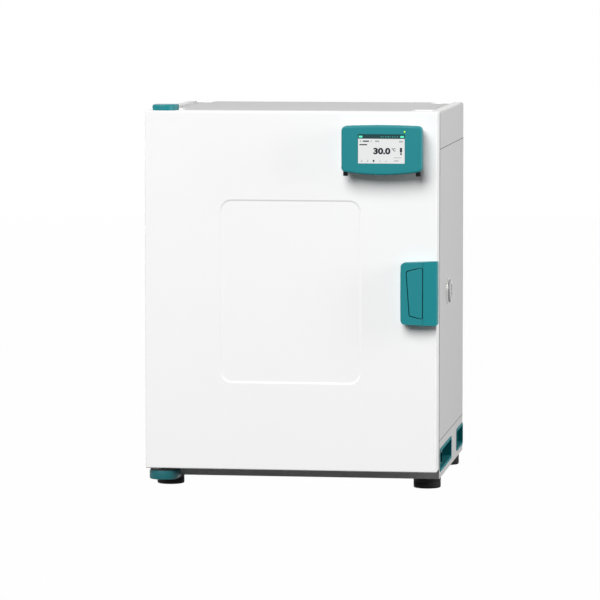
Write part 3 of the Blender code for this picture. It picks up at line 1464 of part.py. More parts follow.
def build_cable_port():
    """The cable port's sleeve through the right wall and its pull-out plug."""
    face = CABINET_HALF + GAP + PORT_FLANGE
    inner = CHAMBER_HALF + GAP
    outer_radius = PORT_RADIUS + PORT_SLEEVE
    sleeve = turned(
        [
            (PORT_RADIUS, face),
            (PORT_FLANGE_RADIUS - PLUG_CHAMFER, face),
            (PORT_FLANGE_RADIUS, face - PLUG_CHAMFER),
            (PORT_FLANGE_RADIUS, CABINET_HALF + GAP),
            (outer_radius, CABINET_HALF + GAP),
            (outer_radius, inner),
            (PORT_RADIUS, inner),
            (PORT_RADIUS, face),
        ],
        "X",
        (0.0, PORT_Y, PORT_Z),
    )
    as_part(sleeve, "cable_port_sleeve", BLACK_PLASTIC)

    stem = PORT_RADIUS * math.cos(math.pi / ROUND) - GAP
    seat = face + GAP
    plug = turned(
        [
            (0.0, PLUG_CAP - PLUG_GRIP_DEPTH),
            (PLUG_GRIP_RADIUS - PLUG_CHAMFER, PLUG_CAP - PLUG_GRIP_DEPTH),
            (PLUG_GRIP_RADIUS, PLUG_CAP - PLUG_CHAMFER / 2),
            (PLUG_GRIP_RADIUS + PLUG_CHAMFER, PLUG_CAP),
            (PLUG_CAP_RADIUS - PLUG_CAP_CHAMFER, PLUG_CAP),
            (PLUG_CAP_RADIUS, PLUG_CAP - PLUG_CAP_CHAMFER),
            (PLUG_CAP_RADIUS, 0.0),
            (stem, 0.0),
            (stem, -PLUG_STEM + PLUG_CHAMFER),
            (stem - PLUG_CHAMFER, -PLUG_STEM),
            (0.0, -PLUG_STEM),
        ],
        "X",
        (seat, PORT_Y, PORT_Z),
    )
    as_part(plug, "port_plug", GREY_PLASTIC)


def build_vent():
    """The exhaust duct through the rear wall and the disc damper that turns over it."""
    duct_front = CHAMBER_REAR + GAP
    back = CABINET_BACK + GAP + VENT_FLANGE
    duct = cylinder(VENT_RADIUS + VENT_TUBE, "Y", (duct_front, back), (VENT_X, VENT_Z))
    flange = cylinder(VENT_FLANGE_RADIUS, "Y", (CABINET_BACK + GAP, back), (VENT_X, VENT_Z))
    bore = cylinder(VENT_RADIUS, "Y", (duct_front - SHEET, CABINET_BACK - SHEET), (VENT_X, VENT_Z))
    join(duct, flange)
    cut(duct, bore)
    for hole in damper_holes(CABINET_BACK - 3 * SHEET, back + SHEET):
        cut(duct, hole)
    socket = (back - VENT_FLANGE, back + SHEET)
    cut(duct, cylinder(DAMPER_PIN_RADIUS + GAP, "Y", socket, (VENT_X, VENT_Z), 16))
    as_part(duct, "vent_duct", GREY_PLASTIC)

    seat = back + GAP
    axis = pivot("vent_axis", (VENT_X, seat, VENT_Z))
    disc = cylinder(VENT_RADIUS, "Y", (seat, seat + DAMPER_THICKNESS), (VENT_X, VENT_Z))
    for hole in damper_holes(seat - SHEET, seat + DAMPER_THICKNESS + SHEET):
        cut(disc, hole)
    pin = cylinder(DAMPER_PIN_RADIUS, "Y", (back - VENT_FLANGE + GAP, seat + SHEET), (VENT_X, VENT_Z), 16)
    knob = block(
        (VENT_X - VENT_RADIUS * 0.8, VENT_X + VENT_RADIUS * 0.8),
        (seat + DAMPER_THICKNESS / 2, seat + DAMPER_THICKNESS + DAMPER_KNOB_HEIGHT),
        (VENT_Z - DAMPER_KNOB_WIDTH / 2, VENT_Z + DAMPER_KNOB_WIDTH / 2),
    )
    join(disc, pin, knob)
    as_part(disc, "vent_damper", TEAL, axis)


def damper_holes(front, back):
    """Four holes on a circle, midway between the damper's knob and its normal."""
    for index in range(4):
        angle = math.radians(45 + 90 * index)
        x = VENT_X + DAMPER_HOLE_CIRCLE * math.cos(angle)
        z = VENT_Z + DAMPER_HOLE_CIRCLE * math.sin(angle)
        yield cylinder(DAMPER_HOLE_RADIUS, "Y", (front, back), (x, z), 10)


def build_fan():
    """The circulation fan: motor behind the liner, and a backward-curved impeller before it."""
    liner_back = CHAMBER_REAR + LINER_SHEET + GAP
    motor = cylinder(MOTOR_RADIUS, "Y", (liner_back, liner_back + MOTOR_LENGTH), (0.0, FAN_Z))
    flange = cylinder(MOTOR_FLANGE_RADIUS, "Y", (liner_back, liner_back + MOTOR_FLANGE), (0.0, FAN_Z))
    shaft = cylinder(SHAFT_RADIUS, "Y", (SHAFT_FRONT, liner_back + MOTOR_FLANGE), (0.0, FAN_Z), 20)
    join(motor, flange, shaft)
    as_part(motor, "fan_motor", ZINC)

    back = SHAFT_FRONT + GAP + FAN_WIDTH
    axis = pivot("fan_axis", (0.0, back, FAN_Z))
    front = back - FAN_WIDTH
    centre = (0.0, FAN_Z)
    disc = cylinder(FAN_RADIUS, "Y", (back - BLADE_THICKNESS, back), centre, 36)
    hub = cylinder(FAN_HUB_RADIUS, "Y", (back - FAN_WIDTH * 0.8, back + HUB_PROUD), centre, 20)
    inlet = cylinder(FAN_RADIUS, "Y", (front, front + BLADE_THICKNESS), centre, 36)
    eye = (front - SHEET, front + 2 * SHEET)
    cut(inlet, cylinder(FAN_INLET_RADIUS, "Y", eye, centre, 36))
    join(disc, hub, inlet)
    for index in range(FAN_BLADES):
        outline = blade_outline(360.0 * index / FAN_BLADES)
        join(disc, slab(outline, "Y", between(front, back, BLADE_THICKNESS / 2)))
    cut(disc, cylinder(SHAFT_RADIUS + GAP, "Y", (front - SHEET, back + 2 * HUB_PROUD), centre, 20))
    as_part(disc, "fan_impeller", BLACK_PLASTIC, axis)
    build_heater()


def blade_outline(start):
    """One curved blade's cross-section, from the inlet's edge to the impeller's rim."""
    outer = []
    inner = []
    first = FAN_INLET_RADIUS - BLADE_OVERLAP
    last = FAN_RADIUS - BLADE_THICKNESS / 2
    for step in range(BLADE_STEPS + 1):
        share = step / BLADE_STEPS
        radius = first + (last - first) * share
        angle = math.radians(start - BLADE_SWEEP * share**1.3)
        side = BLADE_THICKNESS / 2 / radius
        outer.append((radius * math.cos(angle + side), FAN_Z + radius * math.sin(angle + side)))
        inner.append((radius * math.cos(angle - side), FAN_Z + radius * math.sin(angle - side)))
    return outer + list(reversed(inner))


def build_heater():
    """The ring heater round the fan, its two ends turned back to the liner's rear wall."""
    y = (BAFFLE_FRONT + BAFFLE_SHEET + CHAMBER_REAR) / 2
    opening = math.radians(HEATER_OPENING)
    points = []
    first = -math.pi / 2 + opening / 2
    for step in range(HEATER_STEPS + 1):
        angle = first + (2 * math.pi - opening) * step / HEATER_STEPS
        points.append((HEATER_RADIUS * math.cos(angle), y, FAN_Z + HEATER_RADIUS * math.sin(angle)))
    wall = CHAMBER_REAR - GAP
    start = (points[0][0], wall, points[0][2])
    end = (points[-1][0], wall, points[-1][2])
    heater = wire([start, *points, end], HEATER_TUBE)
    as_part(heater, "heater_element", HEATER_METAL)


def build_baffle():
    """The perforated baffle before the plenum, with a fan grille and return slots."""
    y_span = (BAFFLE_FRONT, BAFFLE_FRONT + BAFFLE_SHEET)
    x_span = half_span(CHAMBER_HALF, 2 * GAP)
    z_span = between(CHAMBER_FLOOR, CHAMBER_CEILING, 2 * GAP)
    outline = rectangle(x_span, z_span, CHAMBER_FILLET)
    baffle = slab(outline, "Y", y_span)
    through = (y_span[0] - SHEET, y_span[1] + SHEET)
    for index in range(-GRILLE_BARS, GRILLE_BARS + 1):
        offset = index * FAN_RADIUS / (GRILLE_BARS + 1)
        reach = math.sqrt(FAN_RADIUS**2 - offset**2) * 0.9
        slot = rectangle(
            (-reach, reach),
            (FAN_Z + offset - BAFFLE_SLOT_WIDTH / 2, FAN_Z + offset + BAFFLE_SLOT_WIDTH / 2),
            BAFFLE_SLOT_WIDTH * 0.3,
            1,
        )
        cut(baffle, slab(slot, "Y", through))
    x_in = CHAMBER_HALF - BAFFLE_SLOT_INSET - BAFFLE_SLOT_LENGTH
    x_out = CHAMBER_HALF - BAFFLE_SLOT_INSET
    for row in range(BAFFLE_SLOTS):
        rise = BAFFLE_SLOT_START + row * BAFFLE_SLOT_RISE
        for z in (CHAMBER_FLOOR + rise, CHAMBER_CEILING - rise):
            z_span = (z - BAFFLE_SLOT_WIDTH / 2, z + BAFFLE_SLOT_WIDTH / 2)
            for side in SIDES.values():
                slot = rectangle(side_span(side, x_in, x_out), z_span, BAFFLE_SLOT_WIDTH * 0.3, 1)
                cut(baffle, slab(slot, "Y", through))
    as_part(baffle, "rear_baffle", STAINLESS)

    seat = BAFFLE_FRONT - GAP
    profile = [
        (0.0, PROBE_LENGTH),
        (PROBE_RADIUS, PROBE_LENGTH - PROBE_TIP),
        (PROBE_RADIUS, PROBE_COLLAR),
        (PROBE_COLLAR, PROBE_COLLAR),
        (PROBE_COLLAR, 0.0),
        (0.0, 0.0),
    ]
    probe = turned(profile, "Y", (PROBE_X, seat, CHAMBER_CEILING - PROBE_DROP), 14)
    as_part(probe, "temperature_probe", STAINLESS)


def build_rails():
    """Shelf rails on the chamber's side walls: two posts and a ledge at each level."""
    front = LINER_FRONT + RAIL_FRONT_INSET
    back = BAFFLE_FRONT - RAIL_REAR_INSET
    z_low = CHAMBER_FLOOR + CHAMBER_FILLET
    z_high = CHAMBER_FLOOR + LEDGE_START + LEDGE_RISE * (LEDGES - 1) + LEDGE_START / 2
    wall = CHAMBER_HALF - GAP
    for label, side in SIDES.items():
        span = side_span(side, wall - RAIL_SHEET, wall)
        rail = block(span, (front, front + RAIL_POST), (z_low, z_high))
        join(rail, block(span, (back - RAIL_POST, back), (z_low, z_high)))
        for level in range(LEDGES):
            z = ledge_height(level)
            reach = side_span(side, wall - LEDGE_DEPTH, wall - RAIL_SHEET / 2)
            join(rail, block(reach, between(front, back, -RAIL_POST / 2), (z - LEDGE_THICKNESS, z)))
        as_part(rail, f"shelf_rail_{label}", STAINLESS)


def ledge_height(level):
    """The height of the top of one ledge."""
    return CHAMBER_FLOOR + LEDGE_START + LEDGE_RISE * level


def build_shelves():
    """Wire shelves: a bent rim, cross bars and a row of thinner wires, welded into one."""
    half = CHAMBER_HALF - GAP - RAIL_SHEET - SHELF_CLEAR - SHELF_ROD
    front = LINER_FRONT + RAIL_FRONT_INSET - SHELF_FRONT_REACH
    back = BAFFLE_FRONT - RAIL_REAR_INSET + SHELF_REAR_REACH
    outline = rectangle(half_span(half), (front, back), SHELF_CORNER, 3)
    rim = [(point[0], point[1], 0.0) for point in outline]
    for name, level in SHELF_LEVELS.items():
        shelf = wire(rim, SHELF_ROD, True)
        middle_z = (SHELF_ROD - SHELF_WIRE) * 0.55
        bar_z = middle_z - SHELF_WIRE - SHELF_BAR - GAP
        for index in range(SHELF_WIRES):
            x = half_span(half)[0] + 2 * half * (index + 1) / (SHELF_WIRES + 1)
            join(shelf, cylinder(SHELF_WIRE, "Y", (front, back), (x, middle_z), 6))
        for share in (1 / 3, 2 / 3):
            y = front + (back - front) * share
            join(shelf, cylinder(SHELF_BAR, "X", (-half, half), (y, bar_z), 6))
        flattened(shelf)
        shelf.location = (0.0, 0.0, ledge_height(level) + GAP + SHELF_ROD)
        as_part(shelf, name, STAINLESS)


def build_door_assembly():
    """Everything that swings with the outer door, on an empty at its hinge."""
    axis = pivot("door_axis", (HINGE_X, HINGE_Y, 0.0))
    build_door(axis)
    build_latch(axis)
    build_handle(axis)
    build_controller(axis)


def main():
    """Builds every piece."""
    build_base()
    build_feet()
    build_grips()
    build_switch()
    build_panels()
    build_top_cover()
    build_insulation()
    build_liner()
    build_front_frame()
    build_baffle()
    build_rails()
    build_shelves()
    build_fan()
    build_vent()
    build_cable_port()
    build_glass_door()
    build_upper_hinge()
    build_lower_hinge()
    build_door_assembly()


clear_scene()
PARTS = new_collection("microbiological_incubator")
CUTTERS = new_collection("cutters")
STEEL_PAINT = paint("light_grey_paint", (0.66, 0.67, 0.67), 0.45)
WHITE_PAINT = paint("white_paint", (0.85, 0.86, 0.86), 0.35)
WHITE_PLASTIC = paint("white_plastic", (0.86, 0.87, 0.87), 0.4)
GREY_PLASTIC = paint("grey_plastic", (0.55, 0.57, 0.58), 0.45)
BLACK_PLASTIC = paint("black_plastic", (0.02, 0.02, 0.022), 0.4)
TEAL = paint("teal_plastic", (0.03, 0.28, 0.31), 0.4)
RUBBER = paint("black_rubber", (0.02, 0.02, 0.02), 0.8)
SILICONE = paint("silicone", (0.55, 0.56, 0.56), 0.6)
STAINLESS = paint("stainless_steel", (0.6, 0.6, 0.6), 0.3, 1.0)
ZINC = paint("zinc_plate", (0.5, 0.5, 0.52), 0.4, 1.0)
HEATER_METAL = paint("heater_metal", (0.25, 0.24, 0.23), 0.45, 1.0)
FOAM = paint("foam", (0.80, 0.72, 0.48), 0.9)
GLASS = paint("glass", (0.75, 0.85, 0.82), 0.05)
SCREEN = paint("screen_glass", (0.04, 0.05, 0.06), 0.15)
LIGHT_PIPE = paint("green_light_pipe", (0.45, 0.75, 0.05), 0.3)
main()
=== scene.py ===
"""Looks of a bench-top microbiological incubator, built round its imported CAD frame.

The frame gives every node in metres, with X to the right as one faces the door, Y to the back and
Z up. Each sub-assembly below is a class that dresses the frame's nodes and builds the finer pieces
that stand for some of them. Everything is placed from the frame's own boxes.
"""

from __future__ import annotations

import logging
import math
from collections.abc import Iterable, Sequence
from dataclasses import dataclass, field
from enum import Enum

import bmesh
import bpy
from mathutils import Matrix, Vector

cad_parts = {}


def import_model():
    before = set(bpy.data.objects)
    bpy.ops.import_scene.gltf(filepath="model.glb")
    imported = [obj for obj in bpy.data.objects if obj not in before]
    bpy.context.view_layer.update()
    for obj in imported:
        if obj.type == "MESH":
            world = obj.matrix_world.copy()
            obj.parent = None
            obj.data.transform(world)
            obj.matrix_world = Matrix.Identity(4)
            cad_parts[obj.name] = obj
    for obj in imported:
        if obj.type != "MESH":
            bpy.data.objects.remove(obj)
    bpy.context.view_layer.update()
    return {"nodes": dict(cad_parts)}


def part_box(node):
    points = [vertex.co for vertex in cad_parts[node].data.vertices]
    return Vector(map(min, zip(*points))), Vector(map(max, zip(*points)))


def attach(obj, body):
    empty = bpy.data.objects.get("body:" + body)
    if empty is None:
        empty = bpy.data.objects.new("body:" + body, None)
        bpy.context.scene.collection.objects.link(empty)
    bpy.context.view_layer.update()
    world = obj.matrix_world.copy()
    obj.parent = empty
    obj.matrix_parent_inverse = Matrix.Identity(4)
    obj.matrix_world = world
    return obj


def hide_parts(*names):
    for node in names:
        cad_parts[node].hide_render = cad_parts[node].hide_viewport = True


LOG = logging.getLogger("incubator")

Point2 = tuple[float, float]
Span = tuple[float, float]
Colour = tuple[float, float, float]
Point3 = tuple[float, float, float]
Outline = list[Point2]
Section = tuple[Outline, float]
Patch = tuple[Span, Span]
Socket = bpy.types.NodeSocket
Value = float | tuple[float, ...]

HAIR = 0.0003
MM = 0.001
WHITE = (1.0, 1.0, 1.0, 1.0)
SIDES = {"left": -1, "right": 1}
CORNERS = {f"{row}_{side}": sign for row in ("front", "rear") for side, sign in SIDES.items()}


# Outlines


def rounded(corners: Sequence[tuple[float, float, float]], steps: int = 6) -> Outline:
    """Rounds the corners of a polygon.

    Args:
        corners: Points (u, v, radius) in order.
        steps: Segments in each rounded corner.

    Returns:
        The outline, with the same number of points for the same corners.
    """
    points: Outline = []
    for index, (u, v, radius) in enumerate(corners):
        here = Vector((u, v))
        if radius == 0.0:
            points.append((u, v))
            continue
        back = (Vector(corners[index - 1][:2]) - here).normalized()
        ahead = (Vector(corners[(index + 1) % len(corners)][:2]) - here).normalized()
        half = back.angle(ahead) / 2
        centre = here + (back + ahead).normalized() * radius / math.sin(half)
        start = here + back * radius / math.tan(half) - centre
        end = here + ahead * radius / math.tan(half) - centre
        turn = math.copysign(start.angle(end), start.x * end.y - start.y * end.x)
        across = Vector((-start.y, start.x))
        for step in range(steps + 1):
            angle = turn * step / steps
            point = centre + start * math.cos(angle) + across * math.sin(angle)
            points.append((point.x, point.y))
    return points


def crowned(
    u_span: Span,
    v_span: Span,
    radius: float,
    crowns: Span = (0.0, 0.0),
    steps: int = 7,
    edge_steps: int = 14,
) -> Outline:
    """A rounded rectangle whose lower and upper edges bow outwards.

    Args:
        u_span: Limits across.
        v_span: Limits upwards at the corners.
        radius: Corner radius.
        crowns: How far the lower and the upper edge bow out at their middle.
        steps: Segments in each corner.
        edge_steps: Segments along each bowed edge.

    Returns:
        The outline, anticlockwise from the lower left corner.
    """
    points: Outline = []
    width = u_span[1] - u_span[0]
    for side, crown in ((-1, crowns[0]), (1, crowns[1])):
        slope = math.atan2(4 * crown, width - 2 * radius)
        v_corner = v_span[0] + radius if side < 0 else v_span[1] - radius
        half_turn = math.pi / 2 - slope
        lower: Outline = []
        for step in range(steps + 1):
            angle = math.pi + half_turn * step / steps
            lower.append((u_span[0] + radius + radius * math.cos(angle), radius * math.sin(angle)))
        start, height = lower[-1]
        end = u_span[0] + u_span[1] - start
        for step in range(1, edge_steps):
            share = step / edge_steps
            sag = crown * (1 - (2 * share - 1) ** 2)
            lower.append((start + (end - start) * share, height - sag))
        for u, v in reversed(lower[: steps + 1]):
            lower.append((u_span[0] + u_span[1] - u, v))
        if side < 0:
            points.extend((u, v_corner + v) for u, v in lower)
        else:
            points.extend((u, v_corner - v) for u, v in reversed(lower))
    return points


def rectangle(u_span: Span, v_span: Span, radius: float, steps: int = 6) -> Outline:
    """A rounded rectangle.

    Args:
        u_span: Limits across.
        v_span: Limits upwards.
        radius: Corner radius.
        steps: Segments in each corner.

    Returns:
        The outline, anticlockwise from the lower left corner.
    """
    corners = ((0, 0), (1, 0), (1, 1), (0, 1))
    return rounded([(u_span[u], v_span[v], radius) for u, v in corners], steps)


def circle(centre: Point2, radius: float, sides: int = 48) -> Outline:
    """A circle.

    Args:
        centre: Its centre.
        radius: Its radius.
        sides: Segments round it.

    Returns:
        The outline.
    """
    turns = [2 * math.pi / sides * step for step in range(sides)]
    return [(centre[0] + radius * math.cos(a), centre[1] + radius * math.sin(a)) for a in turns]


def inset(span: Span, margin: float) -> Span:
    """A span drawn in by a margin at both ends."""
    return (span[0] + margin, span[1] - margin)


def middle(low: float, high: float) -> float:
    """The value half way between two others."""
    return (low + high) / 2


def quarter_round(radius: float, steps: int = 6) -> list[Point2]:
    """Insets and depths of a rounded edge, from its side to its face.

    Args:
        radius: The edge's radius.
        steps: Segments in the quarter turn.

    Returns:
        Pairs (inset, depth below the face) that begin at inset 0 and end at depth 0.
    """
    turns = [math.pi / 2 * step / steps for step in range(steps + 1)]
    return [(radius * (1 - math.cos(turn)), radius * (1 - math.sin(turn))) for turn in turns]


# Meshes


class Facing(Enum):
    """The world axis that a flat outline faces."""

    X = "X"
    Y = "Y"
    Z = "Z"

    def point(self, u: float, v: float, depth: float) -> Vector:
        """The world point of an outline's point at a depth along the axis."""
        return Vector({"X": (depth, u, v), "Y": (u, depth, v), "Z": (u, v, depth)}[self.value])


@dataclass
class Form:
    """A mesh in the making, skinned over rings of points."""

    facing: Facing = Facing.Y
    mesh: bmesh.types.BMesh = field(default_factory=bmesh.new)

    def ring(self, outline: Outline, depth: float) -> list[bmesh.types.BMVert]:
        """Adds one ring of points at a depth and returns its vertices."""
        return [self.mesh.verts.new(self.facing.point(u, v, depth)) for u, v in outline]

    def loft(self, sections: Iterable[Section], looped: bool = False) -> Form:
        """Skins a row of sections with the same number of points.

        Args:
            sections: Pairs of outline and depth, in order along the surface.
            looped: Joins the last section to the first instead of closing both with a face.

        Returns:
            This form.
        """
        rings = [self.ring(outline, depth) for outline, depth in sections]
        pairs = list(zip(rings, rings[1:]))
        if looped:
            pairs.append((rings[-1], rings[0]))
        else:
            self.mesh.faces.new(rings[0])
            self.mesh.faces.new(list(reversed(rings[-1])))
        for first, second in pairs:
            for index, vert in enumerate(first):
                after = (index + 1) % len(first)
                self.mesh.faces.new((vert, first[after], second[after], second[index]))
        return self

    def prism(self, outline: Outline, depths: Span) -> Form:
        """Skins one outline between two depths."""
        return self.loft([(outline, depth) for depth in depths])

    def turned(
        self, profile: Iterable[Point2], centre: Point2, sides: int = 48, looped: bool = False
    ) -> Form:
        """Turns a profile round the axis.

        Args:
            profile: Pairs (radius, depth) from one end to the other, none of them on the axis.
            centre: The axis's place on the outline plane.
            sides: Segments round the axis.
            looped: Whether the profile closes on itself, as a ring's does.

        Returns:
            This form.
        """
        return self.loft([(circle(centre, size, sides), depth) for size, depth in profile], looped)

    def bar(self, x_span: Span, y_span: Span, z_span: Span) -> Form:
        """Adds a rectangular bar.

        Args:
            x_span: Its limits along X.
            y_span: Its limits along Y.
            z_span: Its limits along Z.

        Returns:
            This form.
        """
        low, high = (Vector(corner) for corner in zip(x_span, y_span, z_span))
        made = bmesh.ops.create_cube(self.mesh, size=1.0)
        bmesh.ops.scale(self.mesh, vec=high - low, verts=made["verts"])
        bmesh.ops.translate(self.mesh, vec=(low + high) / 2, verts=made["verts"])
        return self

    def finish(self, name: str, smooth: float = 38.0) -> bpy.types.Object:
        """Makes the object, its faces turned outwards and its curved surfaces shaded smooth.

        Args:
            name: The object's name.
            smooth: Edges that turn by more than this many degrees stay sharp.

        Returns:
            The new object in the scene.
        """
        bmesh.ops.recalc_face_normals(self.mesh, faces=self.mesh.faces)
        data = bpy.data.meshes.new(name)
        self.mesh.to_mesh(data)
        self.mesh.free()
        obj = add_object(name, data)
        shade(obj, smooth)
        return obj


def add_object(name: str, data: bpy.types.ID) -> bpy.types.Object:
    """Puts data into the scene as an object.

    Args:
        name: The object's name.
        data: Its mesh, curve, lamp or camera.

    Returns:
        The object.
    """
    obj = bpy.data.objects.new(name, data)
    bpy.context.scene.collection.objects.link(obj)
    return obj


def shade(obj: bpy.types.Object, smooth: float) -> None:
    """Shades an object smooth between edges sharper than an angle in degrees."""
    obj.data.shade_smooth()
    obj.data.set_sharp_from_angle(angle=math.radians(smooth))


def settled_mesh(obj: bpy.types.Object) -> bpy.types.Mesh:
    """An object's mesh with its modifiers applied.

    Args:
        obj: A mesh or text object.

    Returns:
        A new mesh.
    """
    bpy.context.view_layer.update()
    evaluated = obj.evaluated_get(bpy.context.evaluated_depsgraph_get())
    return bpy.data.meshes.new_from_object(evaluated)


def modify(obj: bpy.types.Object, *modifiers: tuple[str, dict[str, object]]) -> None:
    """Applies modifiers to an object's mesh.

    Args:
        obj: The object.
        modifiers: Each modifier's type and its settings.
    """
    for kind, settings in modifiers:
        added = obj.modifiers.new(kind, kind)
        for name, value in settings.items():
            setattr(added, name, value)
    data = settled_mesh(obj)
    data.name = obj.name
    obj.modifiers.clear()
    obj.data = data


def soften(obj: bpy.types.Object, width: float, segments: int, angle: float) -> None:
    """Rounds an object's sharp edges.

    Args:
        obj: The object.
        width: How far the rounding reaches from the edge.
        segments: Segments across it.
        angle: Edges that turn by fewer degrees than this stay.
    """
    limit = {"limit_method": "ANGLE", "angle_limit": math.radians(angle)}
    modify(obj, ("BEVEL", {"width": width, "segments": segments, **limit}))


class Carving(Enum):
    """How one solid shapes another."""

    CUT = "DIFFERENCE"
    TRIM = "INTERSECT"


def carve(
    obj: bpy.types.Object, *cutters: bpy.types.Object, how: Carving = Carving.CUT
) -> None:
    """Shapes an object with others and removes them.

    Args:
        obj: The object that stays.
        cutters: The objects that are used up.
        how: Whether they are cut out, or trim the object to what they share.
    """
    way = {"operation": how.value, "solver": "EXACT"}
    modify(obj, *(("BOOLEAN", {**way, "object": cutter}) for cutter in cutters))
    for cutter in cutters:
        bpy.data.objects.remove(cutter)


def even_normals(obj: bpy.types.Object) -> None:
    """Weights an object's normals by face area, so that flat faces beside fillets stay flat."""
    modify(obj, ("WEIGHTED_NORMAL", {"keep_sharp": True}))


def lettering(name: str, text: str, place: Vector, size: Point2, weight: float) -> bpy.types.Object:
    """Plain figures as a thin mesh that faces the front, fitted to a width and a height.

    Args:
        name: The object's name.
        text: The characters.
        place: The lower left corner.
        size: The width and the height that the characters take up.
        weight: How far the strokes grow, as a share of the type size.

    Returns:
        The new object.
    """
    curve = bpy.data.curves.new(name, "FONT")
    curve.body = text
    curve.size = 1.0
    curve.offset = weight
    curve.extrude = 0.5
    curve.resolution_u = 8
    guide = add_object(name, curve)
    data = settled_mesh(guide)
    bpy.data.objects.remove(guide)
    lefts = [vert.co.x for vert in data.vertices]
    heights = [vert.co.y for vert in data.vertices]
    across = size[0] / (max(lefts) - min(lefts))
    up = size[1] / (max(heights) - min(heights))
    thin = 0.05 * MM
    left, base = min(lefts), min(heights)
    for vert in data.vertices:
        u, v, depth = vert.co
        vert.co = place + Vector(((u - left) * across, -depth * thin, (v - base) * up))
    data.name = name
    return add_object(name, data)


# Node trees


@dataclass
class Wiring:
    """A node tree being wired up."""

    tree: bpy.types.NodeTree

    def node(self, kind: str, **settings: object) -> bpy.types.Node:
        """Adds a node.

        Args:
            kind: The node's type.
            settings: Its settings by name.

        Returns:
            The node.
        """
        made = self.tree.nodes.new(kind)
        for name, value in settings.items():
            setattr(made, name, value)
        return made

    def feed(self, target: Socket, source: Socket | Value) -> None:
        """Wires a socket to another, or sets it to a plain value.

        Args:
            target: The socket that is fed.
            source: The other socket, or the value.
        """
        if isinstance(source, bpy.types.NodeSocket):
            self.tree.links.new(source, target)
        else:
            target.default_value = source

    def maths(self, operation: str, *terms: Socket | float) -> Socket:
        """Adds a Math node.

        Args:
            operation: What it works out.
            terms: The sockets or numbers that it takes.

        Returns:
            Its result.
        """
        made = self.node("ShaderNodeMath", operation=operation)
        for slot, term in zip(made.inputs, terms):
            self.feed(slot, term)
        return made.outputs[0]

    def ranged(self, source: Socket, given: Span, wanted: Span) -> Socket:
        """Maps a value from one range onto another.

        Args:
            source: The value.
            given: The range that it comes in.
            wanted: The range that it is mapped onto.

        Returns:
            The mapped value.
        """
        made = self.node("ShaderNodeMapRange")
        for name, limit in zip(("From Min", "From Max", "To Min", "To Max"), (*given, *wanted)):
            made.inputs[name].default_value = limit
        self.feed(made.inputs["Value"], source)
        return made.outputs["Result"]


class Effect(Enum):
    """The surface effects that more than one material uses, each built once as a node group."""

    MOTTLE = "mottle"
    GRAIN = "grain"
    EDGE_WEAR = "edge_wear"
    DUST = "dust"
    BRUSHING = "brushing"

    def group(self) -> bpy.types.NodeTree:
        """The effect's node group, built on its first use.

        Returns:
            The node group.
        """
        builders = {
            Effect.MOTTLE: EffectBench.mottle,
            Effect.GRAIN: EffectBench.grain,
            Effect.EDGE_WEAR: EffectBench.edge_wear,
            Effect.DUST: EffectBench.dust,
            Effect.BRUSHING: EffectBench.brushing,
        }
        tree = bpy.data.node_groups.get(self.value)
        if tree is None:
            tree = bpy.data.node_groups.new(self.value, "ShaderNodeTree")
            builders[self](EffectBench(tree))
        return tree


